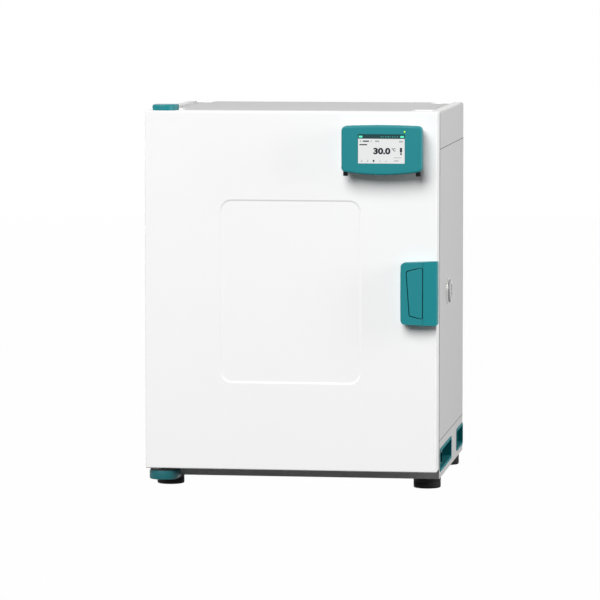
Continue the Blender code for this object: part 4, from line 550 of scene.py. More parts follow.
@dataclass
class EffectBench(Wiring):
    """Where the shared effects are wired up, each in its own method."""

    wear_gain: float = 6.0
    dust_slope: float = 4.0
    bevel_samples: int = 4

    def takes(self, **values: Value) -> bpy.types.bpy_prop_collection:
        """Args:
            values: Their usual values by name.

        Returns:
            The sockets that bring them into the group.
        """
        for name, value in values.items():
            kind = "NodeSocketColor" if isinstance(value, tuple) else "NodeSocketFloat"
            socket = self.tree.interface.new_socket(name, in_out="INPUT", socket_type=kind)
            socket.default_value = value
        return self.node("NodeGroupInput").outputs

    def gives(self, **sources: Socket) -> None:
        """Args:
            sources: The socket that feeds each of them, by name.
        """
        for name, source in sources.items():
            kind = "NodeSocketColor" if source.type == "RGBA" else "NodeSocketFloat"
            self.tree.interface.new_socket(name, in_out="OUTPUT", socket_type=kind)
        end = self.node("NodeGroupOutput")
        for name, source in sources.items():
            self.feed(end.inputs[name], source)

    def place(self) -> Socket:
        """The object's own coordinates."""
        return self.node("ShaderNodeTexCoord").outputs["Object"]

    def parts(self, vector: Socket) -> bpy.types.bpy_prop_collection:
        """The X, Y and Z of a vector.

        Args:
            vector: The vector.

        Returns:
            The three sockets by name.
        """
        made = self.node("ShaderNodeSeparateXYZ")
        self.feed(made.inputs["Vector"], vector)
        return made.outputs

    def noise(self, scale: Socket, detail: float, place: Socket | None = None) -> Socket:
        """Adds a noise.

        Args:
            scale: How fine it is.
            detail: How many finer layers it has.
            place: Where it is read, or nothing for the object's own coordinates.

        Returns:
            Its value.
        """
        made = self.node("ShaderNodeTexNoise")
        self.feed(made.inputs["Detail"], detail)
        self.feed(made.inputs["Scale"], scale)
        self.feed(made.inputs["Vector"], self.place() if place is None else place)
        return made.outputs["Fac"]

    def mottle(self) -> None:
        """A colour whose lightness drifts slightly over the surface."""
        given = self.takes(Colour=(0.5, 0.5, 0.5, 1.0), Variation=0.02, Scale=4.0)
        wide = self.noise(given["Scale"], 3.0)
        swing = self.maths("MULTIPLY", self.maths("SUBTRACT", wide, 0.5), given["Variation"])
        tone = self.node("ShaderNodeHueSaturation")
        self.feed(tone.inputs["Value"], self.maths("ADD", swing, 1.0))
        self.feed(tone.inputs["Color"], given["Colour"])
        self.gives(Colour=tone.outputs["Color"], Drift=wide)

    def grain(self) -> None:
        """The fine texture of a powder coat or a spark-eroded mould, as a height and a mask."""
        given = self.takes(Scale=600.0, Mix=0.5)
        fine = self.noise(given["Scale"], 2.0)
        cells = self.node("ShaderNodeTexVoronoi", feature="SMOOTH_F1")
        self.feed(cells.inputs["Vector"], self.place())
        self.feed(cells.inputs["Scale"], given["Scale"])
        share = self.maths("MULTIPLY", cells.outputs["Distance"], given["Mix"])
        rest = self.maths("SUBTRACT", 1.0, given["Mix"])
        height = self.maths("ADD", share, self.maths("MULTIPLY", fine, rest))
        self.gives(Height=height, Mask=fine)

    def edge_wear(self) -> None:
        """A mask of the rubbed outer edges, broken up by noise."""
        given = self.takes(Radius=0.0015, Amount=0.5, Scale=60.0)
        softened = self.node("ShaderNodeBevel", samples=self.bevel_samples)
        self.feed(softened.inputs["Radius"], given["Radius"])
        surface = self.node("ShaderNodeNewGeometry")
        along = self.node("ShaderNodeVectorMath", operation="DOT_PRODUCT")
        self.feed(along.inputs[0], softened.outputs["Normal"])
        self.feed(along.inputs[1], surface.outputs["Normal"])
        turn = self.maths("SUBTRACT", 1.0, along.outputs["Value"])
        edge = self.maths("MULTIPLY", turn, self.wear_gain)
        broken = self.maths("MULTIPLY", edge, self.noise(given["Scale"], 4.0))
        scaled = self.maths("MULTIPLY", broken, given["Amount"])
        self.gives(Mask=self.maths("MINIMUM", scaled, 1.0))

    def dust(self) -> None:
        """A mask of the dust that settles on surfaces that face up."""
        given = self.takes(Amount=0.2, Scale=30.0)
        rise = self.parts(self.node("ShaderNodeNewGeometry").outputs["Normal"])["Z"]
        upward = self.maths("POWER", self.maths("MAXIMUM", rise, 0.0), self.dust_slope)
        patches = self.maths("MULTIPLY", upward, self.noise(given["Scale"], 6.0))
        self.gives(Mask=self.maths("MULTIPLY", patches, given["Amount"]))

    def brushing(self) -> None:
        """Fine scratches drawn along X, as a height and a mask."""
        given = self.takes(Scale=900.0, Stretch=0.02)
        parts = self.parts(self.place())
        joined = self.node("ShaderNodeCombineXYZ")
        self.feed(joined.inputs["X"], self.maths("MULTIPLY", parts["X"], given["Stretch"]))
        self.feed(joined.inputs["Y"], parts["Y"])
        self.feed(joined.inputs["Z"], parts["Z"])
        lines = self.noise(given["Scale"], 3.0, joined.outputs["Vector"])
        self.gives(Height=lines, Mask=lines)


class Recipe(Wiring):
    """A material's node tree round its Principled shader."""

    noise_reach: Span = (0.3, 0.7)

    def __init__(self, name: str) -> None:
        """Makes the material with its shader.

        Args:
            name: The material's name.
        """
        self.material = bpy.data.materials.new(name)
        self.material.use_nodes = True
        super().__init__(self.material.node_tree)

    def effect(self, kind: Effect, **values: Value) -> bpy.types.bpy_prop_collection:
        """Places a shared effect.

        Args:
            kind: The effect.
            values: This material's own values for it.

        Returns:
            What it gives, by name.
        """
        made = self.node("ShaderNodeGroup", node_tree=kind.group())
        for name, value in values.items():
            made.inputs[name].default_value = value
        return made.outputs

    def mottled(self, colour: Colour, variation: float, scale: float) -> bpy.types.bpy_prop_collection:
        """Places the mottle on a colour and returns what it gives."""
        return self.effect(Effect.MOTTLE, Colour=(*colour, 1.0), Variation=variation, Scale=scale)

    def blend(self, share: Socket, base: Socket, other: Colour) -> Socket:
        """Lays a plain colour over another by a mask.

        Args:
            share: The mask.
            base: The colour below.
            other: The plain colour.

        Returns:
            The mixed colour.
        """
        mix = self.node("ShaderNodeMix", data_type="RGBA")
        for name, source in (("Factor", share), ("A", base), ("B", (*other, 1.0))):
            self.feed(mix.inputs[name], source)
        return mix.outputs["Result"]

    def spread(self, source: Socket, low: float, high: float) -> Socket:
        """Maps the usual reach of a noise onto a range of values."""
        return self.ranged(source, self.noise_reach, (low, high))

    def relief(self, height: Socket, distance: float, strength: float) -> Socket:
        """A normal bumped by a height.

        Args:
            height: The height.
            distance: How far it stands out at its full value, in metres.
            strength: How much of the bump shows.

        Returns:
            The normal.
        """
        bump = self.node("ShaderNodeBump")
        for name, source in (("Distance", distance), ("Strength", strength), ("Height", height)):
            self.feed(bump.inputs[name], source)
        return bump.outputs["Normal"]

    def finished(self, values: dict[str, Socket | Value]) -> bpy.types.Material:
        """Feeds the shader.

        Args:
            values: The socket or value for each of the shader's inputs, by its name.

        Returns:
            The finished material.
        """
        shader = self.tree.nodes["Principled BSDF"]
        for name, value in values.items():
            self.feed(shader.inputs[name], value)
        return self.material


# Finishes


@dataclass(frozen=True)
class PaintedSheet:
    """Powder-coated sheet steel: a fine orange peel, a slight drift in tone and rubbed edges."""

    name: str
    colour: Colour
    worn: Colour
    roughness: float = 0.40
    sheen: float = 0.30
    settled: Colour = (0.62, 0.60, 0.56)

    def build(self) -> bpy.types.Material:
        """Makes the material.

        Returns:
            The material.
        """
        recipe = Recipe(self.name)
        tone = recipe.mottled(self.colour, 0.03, 5.0)
        edge = recipe.effect(Effect.EDGE_WEAR, Radius=0.0012, Amount=0.35, Scale=45.0)
        dust = recipe.effect(Effect.DUST, Amount=0.06, Scale=14.0)
        peel = recipe.effect(Effect.GRAIN, Scale=520.0, Mix=0.35)
        rubbed = recipe.blend(edge["Mask"], tone["Colour"], self.worn)
        return recipe.finished({
            "Base Color": recipe.blend(dust["Mask"], rubbed, self.settled),
            "Roughness": recipe.spread(peel["Mask"], self.roughness - 0.03, self.roughness + 0.04),
            "Normal": recipe.relief(peel["Height"], 0.00005, 0.35),
            "Specular IOR Level": self.sheen,
        })


@dataclass(frozen=True)
class Moulding:
    """Injection-moulded plastic: a spark-eroded grain, polished where it is handled."""

    name: str
    colour: Colour
    worn: Colour
    roughness: float = 0.42
    grain: float = 0.00006
    wear: float = 0.4
    sheen: float = 0.30
    settled: Colour = (0.50, 0.49, 0.46)

    def build(self) -> bpy.types.Material:
        """Makes the material.

        Returns:
            The material.
        """
        recipe = Recipe(self.name)
        tone = recipe.mottled(self.colour, 0.05, 22.0)
        edge = recipe.effect(Effect.EDGE_WEAR, Radius=0.0010, Amount=self.wear, Scale=90.0)
        dust = recipe.effect(Effect.DUST, Amount=0.05, Scale=40.0)
        spark = recipe.effect(Effect.GRAIN, Scale=1400.0, Mix=0.6)
        rubbed = recipe.blend(edge["Mask"], tone["Colour"], self.worn)
        return recipe.finished({
            "Base Color": recipe.blend(dust["Mask"], rubbed, self.settled),
            "Roughness": recipe.spread(tone["Drift"], self.roughness - 0.05, self.roughness + 0.06),
            "Normal": recipe.relief(spark["Height"], self.grain, 0.5),
            "Specular IOR Level": self.sheen,
        })


@dataclass(frozen=True)
class RubberPart:
    """Moulded rubber: matt, mottled with bloom, and paler where it is scuffed."""

    name: str
    colour: Colour
    bloom: Colour
    roughness: float = 0.78
    sheen: float = 0.22

    def build(self) -> bpy.types.Material:
        """Makes the material.

        Returns:
            The material.
        """
        recipe = Recipe(self.name)
        tone = recipe.mottled(self.colour, 0.3, 60.0)
        edge = recipe.effect(Effect.EDGE_WEAR, Radius=0.0014, Amount=0.6, Scale=140.0)
        grain = recipe.effect(Effect.GRAIN, Scale=900.0, Mix=0.4)
        return recipe.finished({
            "Base Color": recipe.blend(edge["Mask"], tone["Colour"], self.bloom),
            "Roughness": recipe.spread(grain["Mask"], self.roughness - 0.10, self.roughness + 0.08),
            "Normal": recipe.relief(grain["Height"], 0.00010, 0.6),
            "Specular IOR Level": self.sheen,
        })


@dataclass(frozen=True)
class SheetMetal:
    """Bare metal sheet or wire, brushed along its length, with smears that change its gloss."""

    name: str
    colour: Colour
    roughness: float
    scratch: float = 0.000012
    smear: float = 0.06
    anisotropy: float = 0.25

    def build(self) -> bpy.types.Material:
        """Makes the material.

        Returns:
            The material.
        """
        recipe = Recipe(self.name)
        tone = recipe.mottled(self.colour, 0.12, 9.0)
        lines = recipe.effect(Effect.BRUSHING, Scale=900.0, Stretch=0.02)
        streaks = recipe.spread(lines["Mask"], 0.0, self.smear)
        drift = recipe.spread(tone["Drift"], self.roughness - self.smear / 2, self.roughness)
        return recipe.finished({
            "Base Color": tone["Colour"],
            "Roughness": recipe.maths("ADD", streaks, drift),
            "Normal": recipe.relief(lines["Height"], self.scratch, 0.4),
            "Metallic": 1.0,
            "Anisotropic": self.anisotropy,
        })


@dataclass(frozen=True)
class Glazing:
    """Clear tempered glass with a faint green body."""

    name: str
    colour: Colour

    def build(self) -> bpy.types.Material:
        """Makes the material.

        Returns:
            The material.
        """
        recipe = Recipe(self.name)
        smudge = recipe.effect(Effect.GRAIN, Scale=12.0, Mix=0.3)
        return recipe.finished({
            "Base Color": (*self.colour, 1.0),
            "Roughness": recipe.spread(smudge["Mask"], 0.0, 0.03),
            "Transmission Weight": 1.0,
            "IOR": 1.5,
        })


@dataclass(frozen=True)
class FoamCore:
    """Rigid insulating foam with its closed cells showing."""

    name: str
    colour: Colour

    def build(self) -> bpy.types.Material:
        """Makes the material.

        Returns:
            The material.
        """
        recipe = Recipe(self.name)
        tone = recipe.mottled(self.colour, 0.25, 70.0)
        cells = recipe.effect(Effect.GRAIN, Scale=700.0, Mix=0.9)
        return recipe.finished({
            "Base Color": tone["Colour"],
            "Roughness": 0.9,
            "Normal": recipe.relief(cells["Height"], 0.0006, 0.8),
        })


@dataclass(frozen=True)
class LitFilm:
    """A lit part of the display under its cover glass, or a lamp: it glows in its own colour."""

    name: str
    colour: Colour
    glow: float
    roughness: float = 0.12
    sheen: float = 0.15

    def build(self) -> bpy.types.Material:
        """Makes the material.

        Returns:
            The material.
        """
        recipe = Recipe(self.name)
        return recipe.finished({
            "Base Color": (0.01, 0.01, 0.01, 1.0),
            "Emission Color": recipe.mottled(self.colour, 0.04, 2600.0)["Colour"],
            "Emission Strength": self.glow,
            "Roughness": self.roughness,
            "Specular IOR Level": self.sheen,
        })


Finish = PaintedSheet | Moulding | RubberPart | SheetMetal | Glazing | FoamCore | LitFilm

TEAL = Moulding("teal_moulding", (0.007, 0.214, 0.241), (0.04, 0.28, 0.31), 0.48)
GRIP_TEAL = Moulding(
    "matt_teal_moulding", (0.006, 0.19, 0.215), (0.04, 0.33, 0.35), 0.62, sheen=0.10
)
# Deep teal: the status lamp ring's own colour, and the lower hinge cap darkened to paint the shade
# that the door casts on it.
DEEP_TEAL_AND_PAINTED_SHADE = Moulding("deep_teal_moulding_and_painted_shade", (0.007, 0.115, 0.130), (0.03, 0.20, 0.22), 0.46)
DOOR_WHITE = PaintedSheet("white_powder_coat", (0.925, 0.925, 0.925), (0.84, 0.84, 0.83), 0.42)
CABINET_GREY = PaintedSheet("light_grey_powder_coat", (0.57, 0.57, 0.57), (0.47, 0.47, 0.46), 0.50)
GREY_MOULDING = Moulding("grey_moulding", (0.42, 0.43, 0.44), (0.55, 0.55, 0.55))
FRAME_MOULDING = Moulding("light_grey_moulding", (0.60, 0.61, 0.61), (0.70, 0.70, 0.70), 0.45)
PLUG_MOULDING = Moulding(
    "satin_grey_moulding", (0.44, 0.44, 0.44), (0.62, 0.62, 0.62), 0.24, 0.00003, 0.5, 0.9
)
# Pale moulding: the hinge bushes' own white, and the pale pieces on the top that paint highlights.
PALE_MOULDING_AND_HIGHLIGHT = Moulding("white_moulding_and_painted_highlight", (0.78, 0.78, 0.77), (0.86, 0.86, 0.86), 0.36)
BLACK_MOULDING = Moulding("black_moulding", (0.018, 0.018, 0.019), (0.10, 0.10, 0.10), 0.38)
BUMPER_RUBBER = RubberPart("bumper_rubber", (0.003, 0.003, 0.003), (0.012, 0.012, 0.012))
BLACK_RUBBER = RubberPart("black_rubber", (0.010, 0.010, 0.010), (0.07, 0.07, 0.07))
# A dark bead colour that paints the shade in the cabinet's seams.
SEAM_SHADE_RUBBER = RubberPart("seam_shade_bead", (0.10, 0.10, 0.10), (0.16, 0.16, 0.16), 0.8)
GASKET_RUBBER = RubberPart("grey_gasket_rubber", (0.10, 0.10, 0.105), (0.25, 0.25, 0.25), 0.6)
SILICONE = RubberPart("translucent_silicone", (0.58, 0.59, 0.58), (0.70, 0.70, 0.70), 0.42)
STAINLESS = SheetMetal("brushed_stainless", (0.62, 0.61, 0.59), 0.28)
POLISHED_WIRE = SheetMetal("polished_wire", (0.68, 0.67, 0.65), 0.16, 0.00001, 0.05, 0.0)
# Black-coated bracket steel, which also paints the shadow under the door over the lower bracket.
BLACKED_STEEL_AND_SHADE = PaintedSheet("black_coated_steel_and_painted_shade", (0.012, 0.012, 0.013), (0.08, 0.08, 0.08), 0.50)
ZINC = SheetMetal("zinc_plate", (0.56, 0.57, 0.58), 0.38, 0.00002, 0.16, 0.0)
HEATER_SHEATH = SheetMetal("oxidised_heater_sheath", (0.16, 0.14, 0.12), 0.45, 0.00003, 0.2, 0.0)
CLEAR_GLASS = Glazing("clear_tempered_glass", (0.93, 0.98, 0.95))
FOAM = FoamCore("rigid_foam", (0.80, 0.72, 0.46))
PAGE_FILM = LitFilm("display_page", (0.92, 0.93, 0.93), 0.86)
HEADER_FILM = LitFilm("display_header", (0.010, 0.055, 0.062), 0.9)
INK_FILM = LitFilm("display_figures", (0.004, 0.016, 0.026), 0.7)
MARK_FILM = LitFilm("display_marks", (0.42, 0.46, 0.47), 0.9)
PILL_FILM = LitFilm("display_buttons", (0.12, 0.95, 0.62), 1.0)
CYAN_FILM = LitFilm("display_header_marks", (0.05, 0.42, 0.36), 0.9)
LAMP = LitFilm("status_lamp", (0.42, 0.92, 0.05), 1.5)


@dataclass
class Paintbox:
    """Makes each finish once and puts it on pieces."""

    made: dict[str, bpy.types.Material] = field(default_factory=dict)

    def coat(self, obj: bpy.types.Object, finish: Finish) -> None:
        """Gives an object one finish all over.

        Args:
            obj: The object.
            finish: The finish, whose material is made on its first use.
        """
        if finish.name not in self.made:
            self.made[finish.name] = finish.build()
        obj.data.materials.clear()
        obj.data.materials.append(self.made[finish.name])


@dataclass
class Assembly:
    """What every sub-assembly shares: the paints, the frame's nodes and how a piece is fitted."""

    paints: Paintbox
    nodes: dict[str, bpy.types.Object]
    low: Vector = field(init=False)
    high: Vector = field(init=False)

    def measure(self, node: str) -> None:
        """Takes a node's box as the one that the next sizes are measured from."""
        self.low, self.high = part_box(node)

    def face(self, margin: float, radius: float) -> Outline:
        """The measured box seen from the front, drawn in by a margin.

        Args:
            margin: The margin.
            radius: The corners' radius.

        Returns:
            The outline.
        """
        across = inset((self.low.x, self.high.x), margin)
        return rectangle(across, inset((self.low.z, self.high.z), margin), radius, steps=8)

    def centre(self, facing: Facing) -> Point2:
        """The middle of the measured box on the plane that an outline faces along."""
        mid = (self.low + self.high) / 2
        return {"X": (mid.y, mid.z), "Y": (mid.x, mid.z), "Z": (mid.x, mid.y)}[facing.value]

    def dress(self, finish: Finish, *names: str) -> None:
        """Gives nodes of the frame a finish and smooth shading over their curved faces.

        Args:
            finish: The finish.
            names: The nodes.
        """
        for name in names:
            self.paints.coat(self.nodes[name], finish)
            shade(self.nodes[name], smooth=30.0)
            LOG.info("dressed node %s in %s", name, finish.name)

    def fit(
        self, obj: bpy.types.Object, body: str, slot: str, finish: Finish, *stands_for: str
    ) -> None:
        """Paints a new piece and fixes it to a body.

        Args:
            obj: The piece, in place in the row frame.
            body: The body of the frame that it moves with.
            slot: The record's material slot. It is not used.
            finish: Its finish.
            stands_for: Nodes of the frame that it replaces.
        """
        self.paints.coat(obj, finish)
        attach(obj, body)
        if stands_for:
            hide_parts(*stands_for)
        LOG.info("fitted %s on %s for %s", obj.name, body, ", ".join(stands_for) or "itself")


# The outer door


@dataclass
class DoorSkin(Assembly):
    """The pressed outer skin of the door and the lining behind it."""

    edge_radius: float = 3.0 * MM
    thickness: float = 1.2 * MM
    least_corner: float = 0.2 * MM
    panel_half_width: float = 0.159
    panel_rise: Span = (0.197, 0.609)
    panel_radius: float = 26.0 * MM
    panel_depth: float = 1.4 * MM
    panel_slope: float = 4.6 * MM
    slope_inside: float = 0.75
    slope_steps: int = 6

    def build(self) -> None:
        """Builds the skin and dresses the lining."""
        self.measure("door_outer_shell")
        inner = list(self.sections(self.thickness))
        skin = Form().loft([*self.sections(0.0), *reversed(inner)]).finish("door_skin", smooth=30.0)
        even_normals(skin)
        self.fit(skin, "door", "white_paint", DOOR_WHITE, "door_outer_shell")
        self.dress(FOAM, "door_insulation")
        self.dress(STAINLESS, "door_inner_sheet")
        self.dress(PALE_MOULDING_AND_HIGHLIGHT, "hinge_bush_top", "hinge_bush_bottom")

    def sections(self, wall: float) -> Iterable[Section]:
        """Rings from the middle of the pressed front out to the back edge.

        Args:
            wall: How far inside the outer surface the rings lie.

        Yields:
            Pairs of outline and depth.
        """
        front = self.low.y + wall
        rise = tuple(self.low.z + height for height in self.panel_rise)
        for step in range(self.slope_steps + 1):
            share = step / self.slope_steps
            smooth = share * share * (3 - 2 * share)
            grow = self.panel_slope * (share - self.slope_inside) + wall
            across = inset((-self.panel_half_width, self.panel_half_width), -grow)
            panel = rectangle(across, inset(rise, -grow), self.panel_radius + grow, steps=8)
            yield panel, front + self.panel_depth * (1 - smooth)
        radius = self.edge_radius - wall
        rims = [(wall + margin, front + depth) for margin, depth in reversed(quarter_round(radius))]
        for margin, depth in (*rims, (wall, self.high.y)):
            yield self.face(margin, max(radius - margin, self.least_corner)), depth


@dataclass
class DoorGasket(Assembly):
    """The magnetic gasket's bellows, swept round the door's lining."""

    folds: int = 2
    fold_depth: float = 1.2 * MM
    fold_steps: int = 4
    width: float = 14.0 * MM
    corner: float = 35.0 * MM
    least_corner: float = 1.0 * MM

    def build(self) -> None:
        """Builds the gasket."""
        self.measure("door_gasket")
        sides = [(share * self.fold_depth, depth) for share, depth in self.profile()]
        inner = [(self.width - margin, depth) for margin, depth in reversed(sides)]
        sections = [
            (self.face(margin, max(self.corner - margin, self.least_corner)), depth)
            for margin, depth in (*sides, *inner)
        ]
        gasket = Form().loft(sections, looped=True).finish("door_gasket_bellows", smooth=50.0)
        self.fit(gasket, "door", "gasket", GASKET_RUBBER, "door_gasket")

    def profile(self) -> Iterable[Point2]:
        """The bellows' folds, from the front to the back.

        Yields:
            Pairs of how deep the fold is, from 0 to 1, and the depth.
        """
        steps = self.fold_steps * self.folds
        for step in range(steps + 1):
            fold = (1 - math.cos(2 * math.pi * self.folds * step / steps)) / 2
            yield fold, self.low.y + (self.high.y - self.low.y) * step / steps


@dataclass
class LatchHandle(Assembly):
    """The moulded handle that wraps the door's free edge, its flush paddle and the latch."""

    root_radius: float = 6.0 * MM
    shoulder: float = 28.0 * MM
    shoulder_radius: float = 20.0 * MM
    tail_radius: float = 1.2 * MM
    fall: float = 11.0 * MM
    draft: float = 1.0 * MM
    taper: float = 3.5 * MM
    corner: float = 9.5 * MM
    end_corner: float = 4.0 * MM
    bow: float = 1.8 * MM
    bow_radius: float = 1.4
    edge: float = 1.5 * MM
    pocket: float = 12.0 * MM
    pocket_edge: float = 0.4 * MM
    gap: float = 1.8 * MM
    paddle_edge: float = 0.6 * MM
    paddle_depth: float = 4.5 * MM
    paddle_radius: float = 4.0 * MM
    trunnion: float = 6.6 * MM
    slant: Span = (7.4 * MM, 0.0)
    rises: Span = (7.7 * MM, 9.9 * MM)
    flat_angle: float = 0.5

    def build(self) -> None:
        """Builds the handle and its paddle, and dresses the latch."""
        self.measure("release_paddle")
        opening = self.paddle_outline(self.gap)
        self.measure("handle_body")
        front = self.low.y
        handle = Form(Facing.Z).prism(self.plan(), (self.low.z, self.high.z)).finish("latch_handle")
        face = Form().prism(self.front(), (front - MM, self.high.y + MM)).finish("handle_face")
        carve(handle, face, how=Carving.TRIM)
        self.weld(handle)
        soften(handle, self.edge, segments=4, angle=50.0)
        pocket = Form().prism(opening, (front - MM, front + self.pocket)).finish("paddle_pocket")
        carve(handle, pocket)
        soften(handle, self.pocket_edge, segments=2, angle=70.0)
        shade(handle, smooth=40.0)
        even_normals(handle)
        self.fit(handle, "door", "teal_plastic", TEAL, "handle_body")
        self.build_paddle()
        self.dress(ZINC, "latch_bolt", "latch_keeper")

    def plan(self) -> Outline:
        """The handle's plan: flat over the paddle, then falling to the door's edge and round it.

        Returns:
            The outline.
        """
        door_low, door_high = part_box("door_outer_shell")
        corners = (
            (self.low.x, door_low.y - HAIR, 0.0),
            (self.low.x + self.draft, self.low.y, self.root_radius),
            (door_high.x - self.shoulder, self.low.y, self.shoulder_radius),
            (self.high.x, self.low.y + self.fall, self.root_radius),
            (self.high.x, self.high.y, self.tail_radius),
            (door_high.x + HAIR, self.high.y, 0.0),
            (door_high.x + HAIR, door_low.y - HAIR, 0.0),
        )
        return rounded(corners, steps=10)

    def front(self) -> Outline:
        """The handle's outline from the front, tapered towards its left.

        Returns:
            The outline.
        """
        corners = (
            (self.low.x + self.bow, self.low.z + self.taper, self.corner),
            (self.high.x, self.low.z, self.end_corner),
            (self.high.x, self.high.z, self.end_corner),
            (self.low.x + self.bow, self.high.z - self.taper, self.corner),
            (self.low.x, middle(self.low.z, self.high.z), self.bow_radius),
        )
        return rounded(corners, steps=10)

    def weld(self, obj: bpy.types.Object) -> None:
        """Joins the flat facets that a cut leaves, so that the edges can be rounded.

        Args:
            obj: The object.
        """
        mesh = bmesh.new()
        mesh.from_mesh(obj.data)
        limit = math.radians(self.flat_angle)
        bmesh.ops.dissolve_limit(mesh, angle_limit=limit, verts=mesh.verts, edges=mesh.edges)
        mesh.to_mesh(obj.data)
        mesh.free()

    def paddle_outline(self, grow: float) -> Outline:
        """The paddle's four-sided outline, slanted at its left.

        Args:
            grow: How far it is grown.

        Returns:
            The outline.
        """
        bottom = self.low.z + self.trunnion
        top = self.high.z - self.trunnion
        corners = (
            (self.low.x + self.slant[0] - grow, bottom + self.rises[0] - grow),
            (self.high.x + grow, bottom - grow),
            (self.high.x + grow, top + grow),
            (self.low.x + self.slant[1] - grow, top - self.rises[1] + grow),
        )
        return rounded([(*corner, self.paddle_radius + grow) for corner in corners])

    def build_paddle(self) -> None:
        """Builds the paddle with a softened rim."""
        self.measure("release_paddle")
        sections = [(self.paddle_outline(0.0), self.low.y + self.paddle_depth)]
        for margin, depth in quarter_round(self.paddle_edge, steps=3):
            sections.append((self.paddle_outline(-margin), self.low.y + depth))
        paddle = Form().loft(sections).finish("release_paddle_face")
        even_normals(paddle)
        self.fit(paddle, "paddle", "teal_plastic", TEAL, "release_paddle")


@dataclass
class ControllerPod(Assembly):
    """The controller housing with its crowned outline, lit display, lamp and rubber bumpers.

    The dome's profile pairs shares of the lamp's radius with depths in millimetres. The lamp ring's
    pairs margins round the lamp with depths, both in millimetres.
    """

    corner: float = 10.5 * MM
    least_corner: float = 1.5 * MM
    window_corners: Span = (1.5 * MM, 0.5 * MM)
    crowns: Span = (6.375 * MM, 1.875 * MM)
    edge: float = 4.5 * MM
    wall: float = 2.5 * MM
    rim: float = 0.5 * MM
    bumper_radius: float = 5.5 * MM
    bumper_stem: float = 4.0 * MM
    bumper_roll: float = 1.6 * MM
    bumper_neck: float = 0.6
    bumper_shoulder: float = 0.8
    dome: tuple[Point2, ...] = ((1.0, 3.0), (1.0, 0.7), (0.9, 0.35), (0.6, 0.1), (0.2, 0.0))
    lamp_ring: tuple[Point2, ...] = ((1.1, 1.0), (1.0, 0.35), (0.1, 0.35), (0.1, 1.0))

    def build(self) -> None:
        """Builds the housing and all that it carries."""
        self.measure("controller_shell")
        housing = Form().loft(self.sections(), looped=True).finish("controller_housing")
        even_normals(housing)
        self.fit(housing, "door", "teal_plastic", TEAL, "controller_shell")
        self.dress(GREY_MOULDING, "controller_back")
        self.dress(BLACK_MOULDING, "display_module")
        self.build_lamp()
        self.build_bumpers()
        DisplayPage(self.paints, self.nodes).build()

    def outline(self, margin: float) -> Outline:
        """The housing's crowned outline.

        Args:
            margin: How far it is drawn in.

        Returns:
            The outline.
        """
        u_span = inset((self.low.x, self.high.x), margin)
        v_span = inset((self.low.z + self.crowns[0], self.high.z - self.crowns[1]), margin)
        return crowned(u_span, v_span, max(self.corner - margin, self.least_corner), self.crowns)

    def window(self, grow: float) -> Outline:
        """The display's window, with as many points as the housing's outline.

        Args:
            grow: How far it stands off the display.

        Returns:
            The outline.
        """
        low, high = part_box("display_module")
        radius = max(self.window_corners[0] + grow, self.window_corners[1])
        return crowned(inset((low.x, high.x), -grow), inset((low.z, high.z), -grow), radius)

    def sections(self) -> Iterable[Section]:
        """Rings from the housing's back edge, over its face, into the window and back inside.

        Yields:
            Pairs of outline and depth.
        """
        front = self.low.y
        yield self.outline(0.0), self.high.y
        for margin, depth in quarter_round(self.edge):
            yield self.outline(margin), front + depth
        yield self.window(HAIR + self.rim), front
        yield self.window(HAIR), front + self.rim
        yield self.window(HAIR), front + self.wall + MM
        yield self.outline(self.wall), front + self.wall + MM
        yield self.outline(self.wall), self.high.y

    def build_lamp(self) -> None:
        """Builds the status lamp's dome and the dark ring that it sits in."""
        self.measure("status_led")
        centre = self.centre(Facing.Y)
        radius = (self.high.x - self.low.x) / 2
        front = self.low.y
        profile = [(radius * share, front + depth * MM) for share, depth in self.dome]
        dome = Form().turned(profile, centre, sides=24).finish("status_lamp_dome", smooth=60.0)
        self.fit(dome, "door", "light_pipe", LAMP, "status_led")
        profile = [(radius + margin * MM, front + depth * MM) for margin, depth in self.lamp_ring]
        ring = Form().turned(profile, centre, sides=32, looped=True).finish("status_lamp_ring")
        self.fit(ring, "door", "teal_plastic", DEEP_TEAL_AND_PAINTED_SHADE)

    def build_bumpers(self) -> None:
        """Builds the two round bumpers with rolled lower edges."""
        for side in SIDES:
            node = f"controller_bumper_{side}"
            self.measure(node)
            radius = self.bumper_radius
            top = self.high.z
            shoulder = top + self.bumper_stem * self.bumper_shoulder
            profile = [(radius * self.bumper_neck, top + self.bumper_stem), (radius, shoulder)]
            for margin, depth in quarter_round(self.bumper_roll, steps=5):
                profile.append((radius - margin, self.low.z + depth))
            bumper = Form(Facing.Z).turned(profile, self.centre(Facing.Z), sides=32)
            self.fit(bumper.finish(f"{node}_turned"), "door", "rubber", BUMPER_RUBBER, node)


